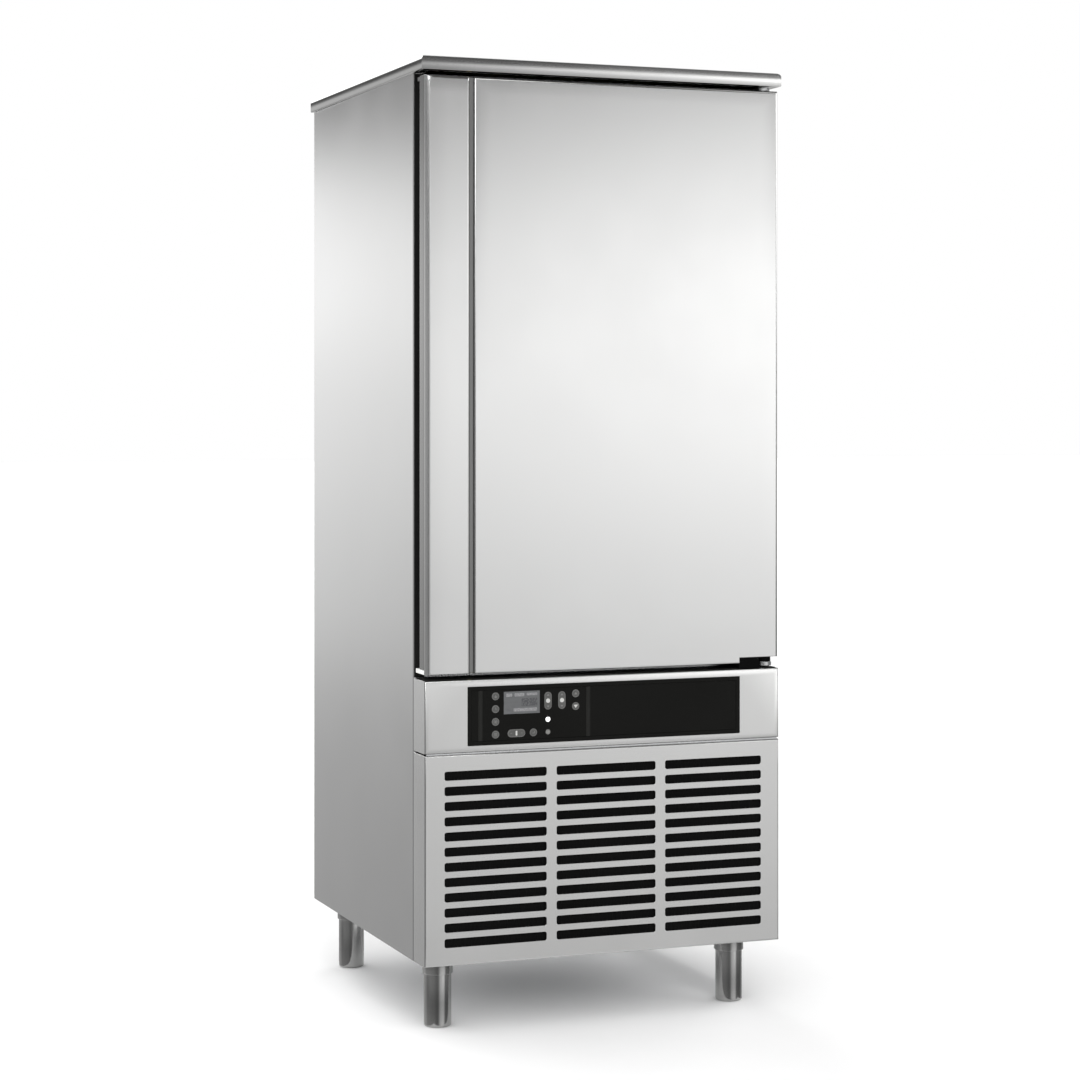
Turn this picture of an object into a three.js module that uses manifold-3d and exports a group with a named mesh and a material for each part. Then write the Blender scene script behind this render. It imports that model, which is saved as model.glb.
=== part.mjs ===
// Upright blast chiller with one solid door, in millimetres, +Z up.
// The origin is on the floor under the middle of the worktop. X runs to the right, the front faces -Y.
import * as THREE from "three";
import { mergeVertices } from "three/addons/utils/BufferGeometryUtils.js";
import Module from "manifold-3d";

const wasm = await Module();
wasm.setup();

// ---------- driving dimensions ----------

// Overall
const OVERALL_WIDTH = 790; // across the worktop
const OVERALL_DEPTH = 800;
const OVERALL_HEIGHT = 1950;
const SHEET = 1.5; // stainless sheet
const FIT = 0.3; // gap between two pieces that sit against each other

// Heights of the front, from the floor up
const LEG_HEIGHT = 142;
const GRILLE_HEIGHT = 419;
const PANEL_SEAM = 3.5;
const FASCIA_HEIGHT = 144.5;
const DOOR_GAP = 12; // between fascia and door
const SHADOW_GAP = 10; // between door and worktop

// Worktop
const TOP_THICKNESS = 28;
const TOP_OVERHANG = 6;
const TOP_EDGE_RADIUS = 9;
const TOP_HEM = 25; // folded-in hem under the edge

// Insulated cabinet
const WALL_INSULATION = 57;
const FLOOR_INSULATION = 70;
const CEILING_INSULATION = 60;
const LINER_RADIUS = 12;
const CABINET_RISE = 1; // underside of the cabinet over the fascia
const FRAME_LIP = 20; // depth of the door frame's lip round the opening
const SIDE_FLANGE = 20; // front flange of a side panel
const REAR_FLANGE = 15;

// Front panels
const RETURN_GAP = 2; // seam between a front panel's side return and the side panel
const PANEL_RADIUS = 3;
const LIP_WIDTH = 16; // inner lip that screws to the side panel's flange
const SLOT_COLUMNS = 3;
const SLOT_ROWS = 12;
const SLOT_WIDTH = 217;
const SLOT_HEIGHT = 17.7;
const SLOT_PITCH = 30.2;
const SLOT_BAR = 21.8; // between two columns
const SLOT_CORNER = 4; // cut off each corner of a slot
const SLOT_BOTTOM = 36.3; // panel's lower edge to the lowest slot

// Door
const DOOR_SIDE_GAP = 1.5; // door edge inside the body's side
const DOOR_THICKNESS = 62; // without its gasket
const DOOR_RADIUS = 6;
const GASKET_DEPTH = 10;
const GASKET_WIDTH = 26;
const GASKET_OFFSET = 6; // opening's edge to the gasket
const LINER_CREASE = 11; // opening's edge to the door liner's raised field
const LINER_RAISE = 8;
const LINER_MARGIN = 3.5; // bare edge outside the door liner
const HANDLE_WIDTH = 92.5;
const HANDLE_RETURN = 38; // depth of the strip's side
const GROOVE_WIDTH = 11;
const GROOVE_DEPTH = 6;
const RECESS_DEPTH = 36; // finger recess, inwards from the door's edge
const RECESS_CAP = 8;
const RECESS_FLANGE = 16;

// Hinges
const PIVOT_INSET = 25; // from the body's side and from the door's front
const PIN_RADIUS = 6;
const PIN_CLEARANCE = 0.3;
const PIN_LENGTH = 23; // engagement beyond the hinge plate's far side
const LOWER_PLATE = 8;
const LOWER_NOSE = 18;
const LOWER_PLATE_RISE = 5; // over the fascia's top
const UPPER_PLATE = 6;
const UPPER_NOSE = 14;
const UPPER_PLATE_GAP = 2; // over the door's top
const HINGE_FLANGE = 3.5;
const HINGE_FLANGE_HEIGHT = 16;
const NOTCH_WIDTH = 88.5; // corner notch of the door, from its edge
const NOTCH_HEIGHT = 12;
const BUSH_RADIUS = 16;
const BLOCK_FRONT = 4; // corner block behind the door's face
const BLOCK_DEPTH = 50;
const BLOCK_DROP = 10; // corner block below the door's edge

// Legs
const LEG_INSET_X = 64; // from the body's side
const LEG_INSET_FRONT = 110; // from the front
const LEG_INSET_REAR = 87;
const SLEEVE_RADIUS = 31;
const SLEEVE_HEIGHT = 35;
const SLEEVE_ROOF = 4.4;
const FOOT_RADIUS = 28;
const FOOT_WALL = 2;
const FOOT_EDGE = 4;
const STEM_RADIUS = 8;
const STEM_END = 50; // threaded stem's lower end over the floor
const STUD_RADIUS = 6;
const NUT_RADIUS = 11;
const NUT_HEIGHT = 8;
const TRAY_EDGE = 40; // turned-up edge of the base tray

// Control panel
const PANEL_WIDTH = 598;
const PANEL_HEIGHT = 118;
const PANEL_RISE = 12.5; // fascia's lower edge to the black panel
const BEZEL_RIM = 8;
const BEZEL_SINK = 1.2; // key field behind the rim
const BEZEL_PLATE = 3;
const BEZEL_DEPTH = 14;
const BEZEL_WALL = 2.5;
const BEZEL_FLANGE = 6;
const KEY_RADIUS = 8;
const KEY_STAND = 0.8; // cap over the key field
const KEY_FLANGE = 1.5;
const KEY_TRAVEL = 0.6;
const FIELD_PLACE = 143.5; // middle of the keypad field, from the panel's left edge
const FIELD_WIDTH = 243;
const RAIL_WIDTH = 11;
const DISPLAY_WIDTH = 77.6;
const DISPLAY_HEIGHT = 45.6;
const DISPLAY_X = -27.7; // places in the field, from its middle and from the panel's lower edge
const DISPLAY_Z = 82.8;
const LEFT_KEYS_X = -84;
const LEFT_KEYS_Z = 20.5;
const LEFT_KEYS_PITCH = 25.5;
const TALL_KEYS_X = [28.5, 58.5];
const TALL_KEYS_Z = 84;
const TALL_KEY_HEIGHT = 36;
const PAIR_KEYS_X = 88.5;
const PAIR_KEYS_Z = [70.7, 96.4];
const START_KEY_X = -39.5;
const START_KEY_WIDTH = 38;
const ENTER_KEY_X = -3.1;
const LOW_KEYS_Z = 21.5;
const LAMP_X = 28.5;
const LAMPS_Z = [21, 46.4];
const LAMP_RADIUS = 5;
const BOARD_THICKNESS = 1.6;

// Chamber
const RACK_POST = 15;
const RACK_STANDOFF = 29; // liner to the trays' edges, which leaves 600 between the posts
const RACK_LEDGE = 22;
const RACK_SETBACK = 28; // from the frame
const RUNNER_PITCH = 66;
const RUNNER_BOTTOM = 60; // over the chamber's floor
const RUNNER_TOP = 64; // least space over the highest runner
const RUNNER_SHEET = 3;
const RACK_TOP = 24; // posts over the highest runner
const FAN_PANEL_SIDE = 119; // liner to the fan panel
const FAN_PANEL_BOTTOM = 68; // over the chamber's floor
const FAN_PANEL_TOP = 61; // under the chamber's ceiling
const FAN_PANEL_DEPTH = 55;
const FAN_PANEL_GAP = 30; // behind the racks
const FAN_PANEL_PIVOT = 8; // hinge pin from the panel's edge
const FAN_COUNT = 2;
const COIL_GAP = 15; // behind the fan panel
const COIL_DEPTH = 100;
const COIL_REAR = 34; // coil to the liner's back
const COIL_END = 15; // coil inside the fan panel's ends
const COIL_FINS = 18;
const FIN_GROOVE = 4;
const LUG_THICKNESS = 3;
const LUG_PIN_RADIUS = 4;
const DRIP_TRAY_MARGIN = 5; // outside the fan panel's sides
const DRIP_TRAY_HEIGHT = 25;
const DRAIN_RADIUS = 10;
const DRAIN_LENGTH = 110;

// Fans
const FAN_RADIUS = 150;
const FAN_TIP_GAP = 6;
const FAN_BLADES = 5;
const FAN_CHORD = 70;
const FAN_PITCH = 25; // degrees
const BLADE_THICKNESS = 2;
const HUB_RADIUS = 34;
const HUB_LENGTH = 26;
const MOTOR_RADIUS = 38;
const MOTOR_LENGTH = 20;
const SHAFT_RADIUS = 5;
const SHAFT_LENGTH = 20;
const GUARD_WIDTH = 12;
const GUARD_BAR = 3;

// Refrigeration unit
const CONDENSER_HEIGHT = 390;
const CONDENSER_DEPTH = 80;
const CONDENSER_LEFT = 80; // from the body's left side
const CONDENSER_RIGHT = 298; // from the body's right side
const CONDENSER_SETBACK = 80; // from the front
const CONDENSER_FINS = 18;
const END_PLATE = 3;
const SHROUD_DEPTH = 40;
const COMPRESSOR_RIGHT = 174; // from the body's right side
const COMPRESSOR_SETBACK = 340; // from the front
const COMPRESSOR_RADIUS = 115;
const COMPRESSOR_HEIGHT = 330;
const COMPRESSOR_FOOT = 18;
const RECEIVER_SETBACK = 480; // from the front
const RECEIVER_RADIUS = 55;
const RECEIVER_HEIGHT = 260;
const PIPE_REACH = 40; // coil's end plate to the risers
const SUCTION_RADIUS = 9;
const LIQUID_RADIUS = 6;
const PIPE_CLEARANCE = 3;
const PIPE_BEND = 28;
const RISER_RISE = 90; // pipe's entry into the coil, over the chamber's floor
const DRIER_RADIUS = 20;
const DRIER_LENGTH = 110;
const BOX_WIDTH = 240; // electrical box
const BOX_HEIGHT = 230;
const BOX_DEPTH = 90;
const BOX_LID = 4;
const BOX_RISE = 300; // over the base tray
const GLAND_RADIUS = 10;
const GLAND_NUT = 15;
const VENT_ROWS = 6;
const VENT_COLUMNS = 2;
const VENT_WIDTH = 260;
const VENT_HEIGHT = 8;
const VENT_PITCH = 32;
const VENT_GAP = 60;
const VENT_BOTTOM = 70;

// ---------- planes worked out from them ----------

const xBody = OVERALL_WIDTH / 2 - TOP_OVERHANG; // outer face of the side panels
const xInner = xBody - SHEET;
const xChamber = xInner - WALL_INSULATION - SHEET; // inside of the liner
const xDoor = xBody - DOOR_SIDE_GAP;
const yFront = -OVERALL_DEPTH / 2;
const yRear = OVERALL_DEPTH / 2 - TOP_OVERHANG; // outer face of the back panel
const yRearInner = yRear - SHEET;
const yDoorBack = yFront + DOOR_THICKNESS;
const yFrame = yDoorBack + GASKET_DEPTH; // front face of the door frame
const yChamberBack = yRearInner - WALL_INSULATION - SHEET;
const zBase = LEG_HEIGHT;
const zTray = zBase + SHEET; // upper face of the base tray
const zGrilleTop = zBase + GRILLE_HEIGHT;
const zFascia = zGrilleTop + PANEL_SEAM;
const zFasciaTop = zFascia + FASCIA_HEIGHT;
const zCabinet = zFasciaTop + CABINET_RISE;
const zDoor = zFasciaTop + DOOR_GAP;
const zBodyTop = OVERALL_HEIGHT - TOP_THICKNESS;
const zDoorTop = zBodyTop - SHADOW_GAP;
const zChamber = zCabinet + FLOOR_INSULATION + SHEET; // inside of the liner's floor
const zCeiling = zBodyTop - CEILING_INSULATION - SHEET;
const xPivot = xBody - PIVOT_INSET;
const yPivot = yFront + PIVOT_INSET;
const zNotch = zDoor + NOTCH_HEIGHT;
const xNotch = xDoor - NOTCH_WIDTH;
const xHandle = -xDoor + HANDLE_WIDTH; // right edge of the grip strip
const xSkin = xHandle + GROOVE_WIDTH; // left edge of the door skin
const xRecess = -xDoor + RECESS_DEPTH;
const yRecess = yFront + HANDLE_RETURN;
const yDoorSkin = yDoorBack - SHEET - FIT; // rear edge of the skin's returns
const zLowerPlate = zFasciaTop + LOWER_PLATE_RISE;
const zUpperPlate = zDoorTop + UPPER_PLATE_GAP;
const yCoil = yChamberBack - COIL_REAR - COIL_DEPTH;
const yFanPanel = yCoil - COIL_GAP - FAN_PANEL_DEPTH;
const yRackBack = yFanPanel - FAN_PANEL_GAP;
const xRack = xChamber - RACK_STANDOFF; // edge of the trays
const xFanPanel = xChamber - FAN_PANEL_SIDE;
const zFanPanel = zChamber + FAN_PANEL_BOTTOM;
const zFanPanelTop = zCeiling - FAN_PANEL_TOP;
const xFanPivot = xFanPanel - FAN_PANEL_PIVOT;
const yFanPivot = yFanPanel + FAN_PANEL_PIVOT;
const xCoil = xFanPanel - END_PLATE - FIT; // half width of the coil's fins
const xPipe = xCoil + END_PLATE + FIT + PIPE_REACH; // suction riser, and mirrored the liquid riser
const yPipe = yCoil + COIL_DEPTH;
const zCondenser = zTray + FIT;
const xCondenser = -xBody + CONDENSER_LEFT; // left side of the condenser
const xCondenserEnd = xBody - CONDENSER_RIGHT;
const yCondenser = yFront + CONDENSER_SETBACK;
const xCompressor = xBody - COMPRESSOR_RIGHT;
const yCompressor = yFront + COMPRESSOR_SETBACK;
const yReceiver = yFront + RECEIVER_SETBACK;
const yShroud = yCondenser + CONDENSER_DEPTH + FIT;
const fanHole = FAN_RADIUS + FAN_TIP_GAP;

// ---------- materials ----------

function finish(color, roughness, metalness) {
  return new THREE.MeshStandardMaterial({ color, roughness, metalness });
}

const steel = finish(0xc3c5c6, 0.32, 0.9);
const darkSteel = finish(0x8d9092, 0.4, 0.9);
const aluminium = finish(0xb9bcbf, 0.35, 0.9);
const copper = finish(0xb56a3c, 0.3, 1);
const foam = finish(0xe2d3a0, 0.95, 0);
const blackPlastic = finish(0x191917, 0.3, 0);
const rubber = finish(0x1c1c1c, 0.9, 0);
const blackPaint = finish(0x202224, 0.5, 0.3);
const keyGrey = finish(0x4c4c4a, 0.5, 0);
const displayGlass = finish(0x8f9092, 0.1, 0);
const greenBoard = finish(0x1f6b3c, 0.6, 0);

// ---------- solids ----------

function solid(geometry) {
  const flat = geometry.index ? geometry.toNonIndexed() : geometry.clone();
  flat.deleteAttribute("normal");
  flat.deleteAttribute("uv");
  const merged = mergeVertices(flat, 1e-4);
  return new wasm.Manifold(
    new wasm.Mesh({
      numProp: 3,
      vertProperties: merged.attributes.position.array,
      triVerts: new Uint32Array(merged.index.array),
    }),
  );
}

function join(...solids) {
  return solids.reduce((whole, piece) => whole.add(piece));
}

function cut(whole, ...tools) {
  return tools.reduce((rest, tool) => rest.subtract(tool), whole);
}

function part(name, body, material) {
  const made = body.getMesh();
  const geometry = new THREE.BufferGeometry();
  geometry.setAttribute("position", new THREE.BufferAttribute(made.vertProperties, 3));
  geometry.setIndex(new THREE.BufferAttribute(made.triVerts, 1));
  geometry.computeVertexNormals();
  const mesh = new THREE.Mesh(geometry, material);
  mesh.name = name;
  return mesh;
}

function box(x0, x1, y0, y1, z0, z1) {
  const block = new THREE.BoxGeometry(x1 - x0, y1 - y0, z1 - z0);
  return solid(block.translate((x0 + x1) / 2, (y0 + y1) / 2, (z0 + z1) / 2));
}

// Two distances from the middle on one side, -1 or 1, in rising order.
function sided(side, near, far) {
  return side > 0 ? [near, far] : [-far, -near];
}

// A rectangle whose corners have their own radii: lower left, lower right, upper right, upper left.
function rectangle(u0, u1, v0, v1, radii = [0, 0, 0, 0]) {
  const [lowLeft, lowRight, highRight, highLeft] = radii;
  const shape = new THREE.Shape();
  const corner = (u, v, radius, start) => {
    if (radius > 0) shape.absarc(u, v, radius, start, start + Math.PI / 2, false);
    else shape.lineTo(u, v);
  };
  shape.moveTo(u0 + lowLeft, v0);
  corner(u1 - lowRight, v0 + lowRight, lowRight, -Math.PI / 2);
  corner(u1 - highRight, v1 - highRight, highRight, 0);
  corner(u0 + highLeft, v1 - highLeft, highLeft, Math.PI / 2);
  corner(u0 + lowLeft, v0 + lowLeft, lowLeft, Math.PI);
  return shape;
}

// A rectangle with its four corners cut off.
function bevelled(u0, u1, v0, v1, corner) {
  return outline([
    [u0 + corner, v0],
    [u1 - corner, v0],
    [u1, v0 + corner],
    [u1, v1 - corner],
    [u1 - corner, v1],
    [u0 + corner, v1],
    [u0, v1 - corner],
    [u0, v0 + corner],
  ]);
}

function outline(points) {
  return new THREE.Shape(points.map(([u, v]) => new THREE.Vector2(u, v)));
}

function evenRadii(radius) {
  return [radius, radius, radius, radius];
}

function extrude(shape, length, curveSegments) {
  return new THREE.ExtrudeGeometry(shape, { depth: length, bevelEnabled: false, curveSegments });
}

// An outline in X and Y carried up Z, one in X and Z carried along Y, and one in Y and Z carried along X.
function prismZ(shape, z0, z1, segments = 2) {
  return solid(extrude(shape, z1 - z0, segments).translate(0, 0, z0));
}

function prismY(shape, y0, y1, segments = 2) {
  return solid(extrude(shape, y1 - y0, segments).rotateX(Math.PI / 2).translate(0, y1, 0));
}

function prismX(shape, x0, x1, segments = 2) {
  const turn = new THREE.Matrix4().makeBasis(
    new THREE.Vector3(0, 1, 0),
    new THREE.Vector3(0, 0, 1),
    new THREE.Vector3(1, 0, 0),
  );
  return solid(extrude(shape, x1 - x0, segments).applyMatrix4(turn).translate(x0, 0, 0));
}

function roundZ(x, y, radius, z0, z1, sides = 16) {
  const bar = new THREE.CylinderGeometry(radius, radius, z1 - z0, sides);
  return solid(bar.rotateX(Math.PI / 2).translate(x, y, (z0 + z1) / 2));
}

function roundY(x, z, radius, y0, y1, sides = 16) {
  const bar = new THREE.CylinderGeometry(radius, radius, y1 - y0, sides);
  return solid(bar.translate(x, (y0 + y1) / 2, z));
}

// A closed profile of [radius, height] turned about the Z axis.
function turned(profile, x = 0, y = 0, sides = 20) {
  const points = profile.map(([radius, height]) => new THREE.Vector2(radius, height));
  return solid(new THREE.LatheGeometry(points, sides).rotateX(Math.PI / 2).translate(x, y, 0));
}

// A route through given stations, straight from each one to the next.
class Route extends THREE.Curve {
  constructor(stations) {
    super();
    this.stations = stations;
  }
  getPoint(t) {
    const place = t * (this.stations.length - 1);
    const i = Math.min(Math.floor(place), this.stations.length - 2);
    return this.stations[i].clone().lerp(this.stations[i + 1], place - i);
  }
  getPointAt(t) {
    return this.getPoint(t);
  }
  getTangentAt(t) {
    return this.getTangent(t);
  }
}

// Straight runs of tube joined by bends, through the given corners.
function tube(corners, radius) {
  const points = corners.map(([x, y, z]) => new THREE.Vector3(x, y, z));
  const stations = [points[0]];
  for (let i = 1; i < points.length - 1; i++) {
    const towards = (other) => other.clone().sub(points[i]).setLength(PIPE_BEND).add(points[i]);
    const bend = new THREE.QuadraticBezierCurve3(
      towards(points[i - 1]),
      points[i],
      towards(points[i + 1]),
    );
    stations.push(...bend.getPoints(3));
  }
  stations.push(points.at(-1));
  const ring = new THREE.Shape();
  ring.absarc(0, 0, radius, 0, 2 * Math.PI, false);
  return solid(
    new THREE.ExtrudeGeometry(ring, {
      steps: stations.length - 1,
      curveSegments: 4,
      extrudePath: new Route(stations),
      bevelEnabled: false,
    }),
  );
}

// ---------- casing ----------

function sidePanel(name, side) {
  const front = xInner - SIDE_FLANGE;
  const rear = xInner - REAR_FLANGE;
  const section = outline(
    [
      [xBody, yFrame],
      [xBody, yRear],
      [rear, yRear],
      [rear, yRearInner],
      [xInner, yRearInner],
      [xInner, yFrame + SHEET],
      [front, yFrame + SHEET],
      [front, yFrame],
    ].map(([x, y]) => [side * x, y]),
  );
  return part(name, prismZ(section, zBase, zBodyTop - FIT), steel);
}

function backPanel() {
  const half = xInner - REAR_FLANGE - FIT;
  let sheet = box(-half, half, yRearInner, yRear, zBase, zBodyTop - FIT);
  const step = VENT_WIDTH + VENT_GAP;
  const first = (-step * (VENT_COLUMNS - 1) - VENT_WIDTH) / 2;
  for (let column = 0; column < VENT_COLUMNS; column++) {
    for (let row = 0; row < VENT_ROWS; row++) {
      const x = first + column * step;
      const z = zBase + VENT_BOTTOM + row * VENT_PITCH;
      sheet = cut(sheet, box(x, x + VENT_WIDTH, yRearInner - 1, yRear + 1, z, z + VENT_HEIGHT));
    }
  }
  const hole = roundY(0, glandHeight(), GLAND_RADIUS + FIT, yRearInner - 1, yRear + 1);
  return part("back_panel", cut(sheet, hole), steel);
}

function worktop() {
  const half = OVERALL_WIDTH / 2;
  const back = OVERALL_DEPTH / 2;
  const slab = (inset) => {
    const radius = TOP_EDGE_RADIUS - inset;
    const low = zBodyTop + inset;
    const high = OVERALL_HEIGHT - inset;
    const across = rectangle(-half + inset, half - inset, low, high, [0, 0, radius, radius]);
    const along = rectangle(yFront + inset, back - inset, low, high, [0, 0, radius, radius]);
    return prismY(across, yFront + inset, back - inset).intersect(
      prismX(along, -half + inset, half - inset),
    );
  };
  const mouth = box(
    -half + TOP_HEM,
    half - TOP_HEM,
    yFront + TOP_HEM,
    back - TOP_HEM,
    zBodyTop - 1,
    zBodyTop + 2 * SHEET,
  );
  return part("worktop", cut(slab(0), slab(SHEET), mouth), steel);
}

function linerOutline(grow) {
  const radius = LINER_RADIUS + grow;
  return rectangle(
    -xChamber - grow,
    xChamber + grow,
    zChamber - grow,
    zCeiling + grow,
    evenRadii(radius),
  );
}

// The holes for both risers and the drain, through the chamber's floor.
function floorHoles() {
  const low = zCabinet - 1;
  const high = zChamber + 1;
  return join(
    roundZ(xPipe, yPipe, SUCTION_RADIUS + PIPE_CLEARANCE, low, high),
    roundZ(-xPipe, yPipe, LIQUID_RADIUS + PIPE_CLEARANCE, low, high),
    roundZ(0, drainPlace(), DRAIN_RADIUS + PIPE_CLEARANCE, low, high),
  );
}

function insulationBody() {
  const half = xInner - FIT;
  const front = yFrame + SHEET + FIT;
  const block = box(-half, half, front, yRearInner - FIT, zCabinet + FIT, zBodyTop - FIT);
  const cavity = prismY(linerOutline(SHEET + FIT), front - 1, yChamberBack + SHEET + FIT);
  return part("insulation_body", cut(block, cavity, floorHoles()), foam);
}

function chamberLiner() {
  const front = yFrame + SHEET + FRAME_LIP + FIT;
  const outer = prismY(linerOutline(SHEET), front, yChamberBack + SHEET);
  const inner = prismY(linerOutline(0), front - 1, yChamberBack);
  return part("chamber_liner", cut(outer, inner, floorHoles()), steel);
}

function frontFrame() {
  const half = xInner - SIDE_FLANGE - FIT;
  const plate = box(-half, half, yFrame, yFrame + SHEET, zCabinet, zBodyTop - FIT);
  const lip = prismY(linerOutline(SHEET), yFrame, yFrame + SHEET + FRAME_LIP);
  const opening = prismY(linerOutline(0), yFrame - 1, yFrame + SHEET + FRAME_LIP + 1);
  return part("front_frame", cut(join(plate, lip), opening), steel);
}

function baseTray() {
  const half = xInner - FIT;
  const front = yFrame + SHEET + FIT;
  const back = yRearInner - FIT;
  const pan = cut(
    box(-half, half, front, back, zBase, zBase + TRAY_EDGE),
    box(-half + SHEET, half - SHEET, front + SHEET, back - SHEET, zTray, zBase + TRAY_EDGE + 1),
  );
  const holes = legPlaces().map(([x, y]) => roundZ(x, y, STUD_RADIUS + FIT, zBase - 1, zTray + 1));
  return part("base_tray", cut(pan, ...holes), darkSteel);
}

// An open-backed pan between two heights, whose lips screw to the side panels' flanges.
function frontPan(z0, z1, lowRadius, highRadius) {
  const back = yFrame - RETURN_GAP;
  const block = (inset) => {
    const side = PANEL_RADIUS - inset;
    const plan = rectangle(-xBody + inset, xBody - inset, yFront + inset, back, [side, side, 0, 0]);
    const profile = rectangle(
      yFront + inset,
      back,
      z0 + inset,
      z1 - inset,
      [Math.max(lowRadius - inset, 0), 0, 0, Math.max(highRadius - inset, 0)],
    );
    return prismZ(plan, z0 + inset, z1 - inset).intersect(
      prismX(profile, -xBody + inset, xBody - inset),
    );
  };
  const lip = (side) => {
    const lap = sided(side, xInner - LIP_WIDTH, xBody - SHEET / 2);
    const seat = sided(side, xInner - LIP_WIDTH, xInner);
    return join(
      box(...lap, back - SHEET, back, z0 + SHEET, z1 - SHEET),
      box(...seat, back - SHEET, yFrame - FIT, z0 + SHEET, z1 - SHEET),
    );
  };
  return join(cut(block(0), block(SHEET)), lip(-1), lip(1));
}

function fascia() {
  const low = zFascia + PANEL_RISE;
  const half = PANEL_WIDTH / 2;
  const window = box(-half, half, yFront - 1, yFront + SHEET + 1, low, low + PANEL_HEIGHT);
  const pan = frontPan(zFascia, zFasciaTop, PANEL_RADIUS, DOOR_RADIUS);
  return part("fascia", cut(pan, window), steel);
}

function frontGrille() {
  let pan = frontPan(zBase, zGrilleTop, PANEL_RADIUS, PANEL_RADIUS);
  const step = SLOT_WIDTH + SLOT_BAR;
  const first = (-step * (SLOT_COLUMNS - 1) - SLOT_WIDTH) / 2;
  for (let column = 0; column < SLOT_COLUMNS; column++) {
    for (let row = 0; row < SLOT_ROWS; row++) {
      const x = first + column * step;
      const z = zBase + SLOT_BOTTOM + row * SLOT_PITCH;
      const slot = bevelled(x, x + SLOT_WIDTH, z, z + SLOT_HEIGHT, SLOT_CORNER);
      pan = cut(pan, prismY(slot, yFront - 1, yFront + SHEET + 1));
    }
  }
  return part("front_grille", pan, steel);
}

// ---------- legs ----------

function legPlaces() {
  const x = xBody - LEG_INSET_X;
  const front = yFront + LEG_INSET_FRONT;
  const rear = yRear + TOP_OVERHANG - LEG_INSET_REAR;
  return [
    [-x, front],
    [x, front],
    [-x, rear],
    [x, rear],
  ];
}

// Upper sleeve with its threaded stem below and its stud and nut above the base tray.
function legSleeve() {
  const top = zBase - FIT;
  const roof = top - SLEEVE_ROOF;
  const rim = top - SLEEVE_HEIGHT;
  const bore = FOOT_RADIUS + FIT;
  const shell = turned([
    [0, top],
    [0, STEM_END],
    [STEM_RADIUS, STEM_END],
    [STEM_RADIUS, roof],
    [bore, roof],
    [bore, rim],
    [SLEEVE_RADIUS, rim],
    [SLEEVE_RADIUS, top],
    [0, top],
  ]);
  const stud = roundZ(0, 0, STUD_RADIUS, top - 1, zTray + NUT_HEIGHT * 2, 12);
  const nut = roundZ(0, 0, NUT_RADIUS, zTray + FIT, zTray + FIT + NUT_HEIGHT, 6);
  return join(shell, stud, nut);
}

// Hollow foot that screws up and down on the sleeve's stem.
function legFoot() {
  const top = zBase - FIT - SLEEVE_ROOF - FIT;
  const bore = STEM_RADIUS + FIT;
  const inside = FOOT_RADIUS - FOOT_WALL;
  return turned([
    [0, 0],
    [FOOT_RADIUS - FOOT_EDGE, 0],
    [FOOT_RADIUS, FOOT_EDGE],
    [FOOT_RADIUS, top],
    [bore, top],
    [bore, top - NUT_HEIGHT],
    [inside, top - NUT_HEIGHT],
    [inside, FOOT_EDGE],
    [0, FOOT_EDGE],
    [0, 0],
  ]);
}

function legs() {
  const group = new THREE.Group();
  const names = ["front_left", "front_right", "rear_left", "rear_right"];
  const sleeve = legSleeve();
  const foot = legFoot();
  legPlaces().forEach(([x, y], i) => {
    const leg = new THREE.Group();
    leg.position.set(x, y, 0);
    leg.add(part(`leg_sleeve_${names[i]}`, sleeve, steel));
    leg.add(part(`leg_foot_${names[i]}`, foot, steel));
    group.add(leg);
  });
  return group;
}

// ---------- door ----------

// The door's outside drawn in by a distance, open at the back as far as the given plane.
function doorBlock(inset, yBack) {
  const radius = DOOR_RADIUS - inset;
  const plan = rectangle(
    -xDoor + inset,
    xDoor - inset,
    yFront + inset,
    yBack,
    [radius, radius, 0, 0],
  );
  const profile = rectangle(
    yFront + inset,
    yBack,
    zDoor + inset,
    zDoorTop - inset,
    [radius, 0, 0, radius],
  );
  return prismZ(plan, zDoor + inset, zDoorTop - inset).intersect(
    prismX(profile, -xDoor + inset, xDoor - inset),
  );
}

function notchBlock(grow) {
  return box(xNotch - grow, xDoor + 1, yFront - 1, yFrame, zDoor - 1, zNotch + grow);
}

function pinHoles() {
  const radius = PIN_RADIUS + 2 * PIN_CLEARANCE;
  const low = zNotch + PIN_LENGTH;
  const high = zDoorTop - PIN_LENGTH;
  return join(
    roundZ(xPivot, yPivot, radius, zDoor - 1, low),
    roundZ(xPivot, yPivot, radius, high, zDoorTop + 1),
  );
}

function doorSkin() {
  const shell = cut(doorBlock(0, yDoorSkin), notchBlock(0));
  const inside = cut(doorBlock(SHEET, yDoorSkin + 1), notchBlock(SHEET));
  const strip = box(-xDoor - 1, xSkin, yFront - 1, yFrame, zDoor - 1, zDoorTop + 1);
  const wall = box(-xDoor - 1, xSkin + SHEET, yFront - 1, yFrame, zDoor - 1, zDoorTop + 1);
  const behindGroove = box(
    xSkin - 1,
    xSkin + SHEET + FIT,
    yFront + GROOVE_DEPTH - FIT,
    yFrame,
    zDoor + SHEET,
    zDoorTop - SHEET,
  );
  const skin = cut(cut(shell, strip), cut(inside, wall), behindGroove, pinHoles());
  return part("door_skin", skin, steel);
}

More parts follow.
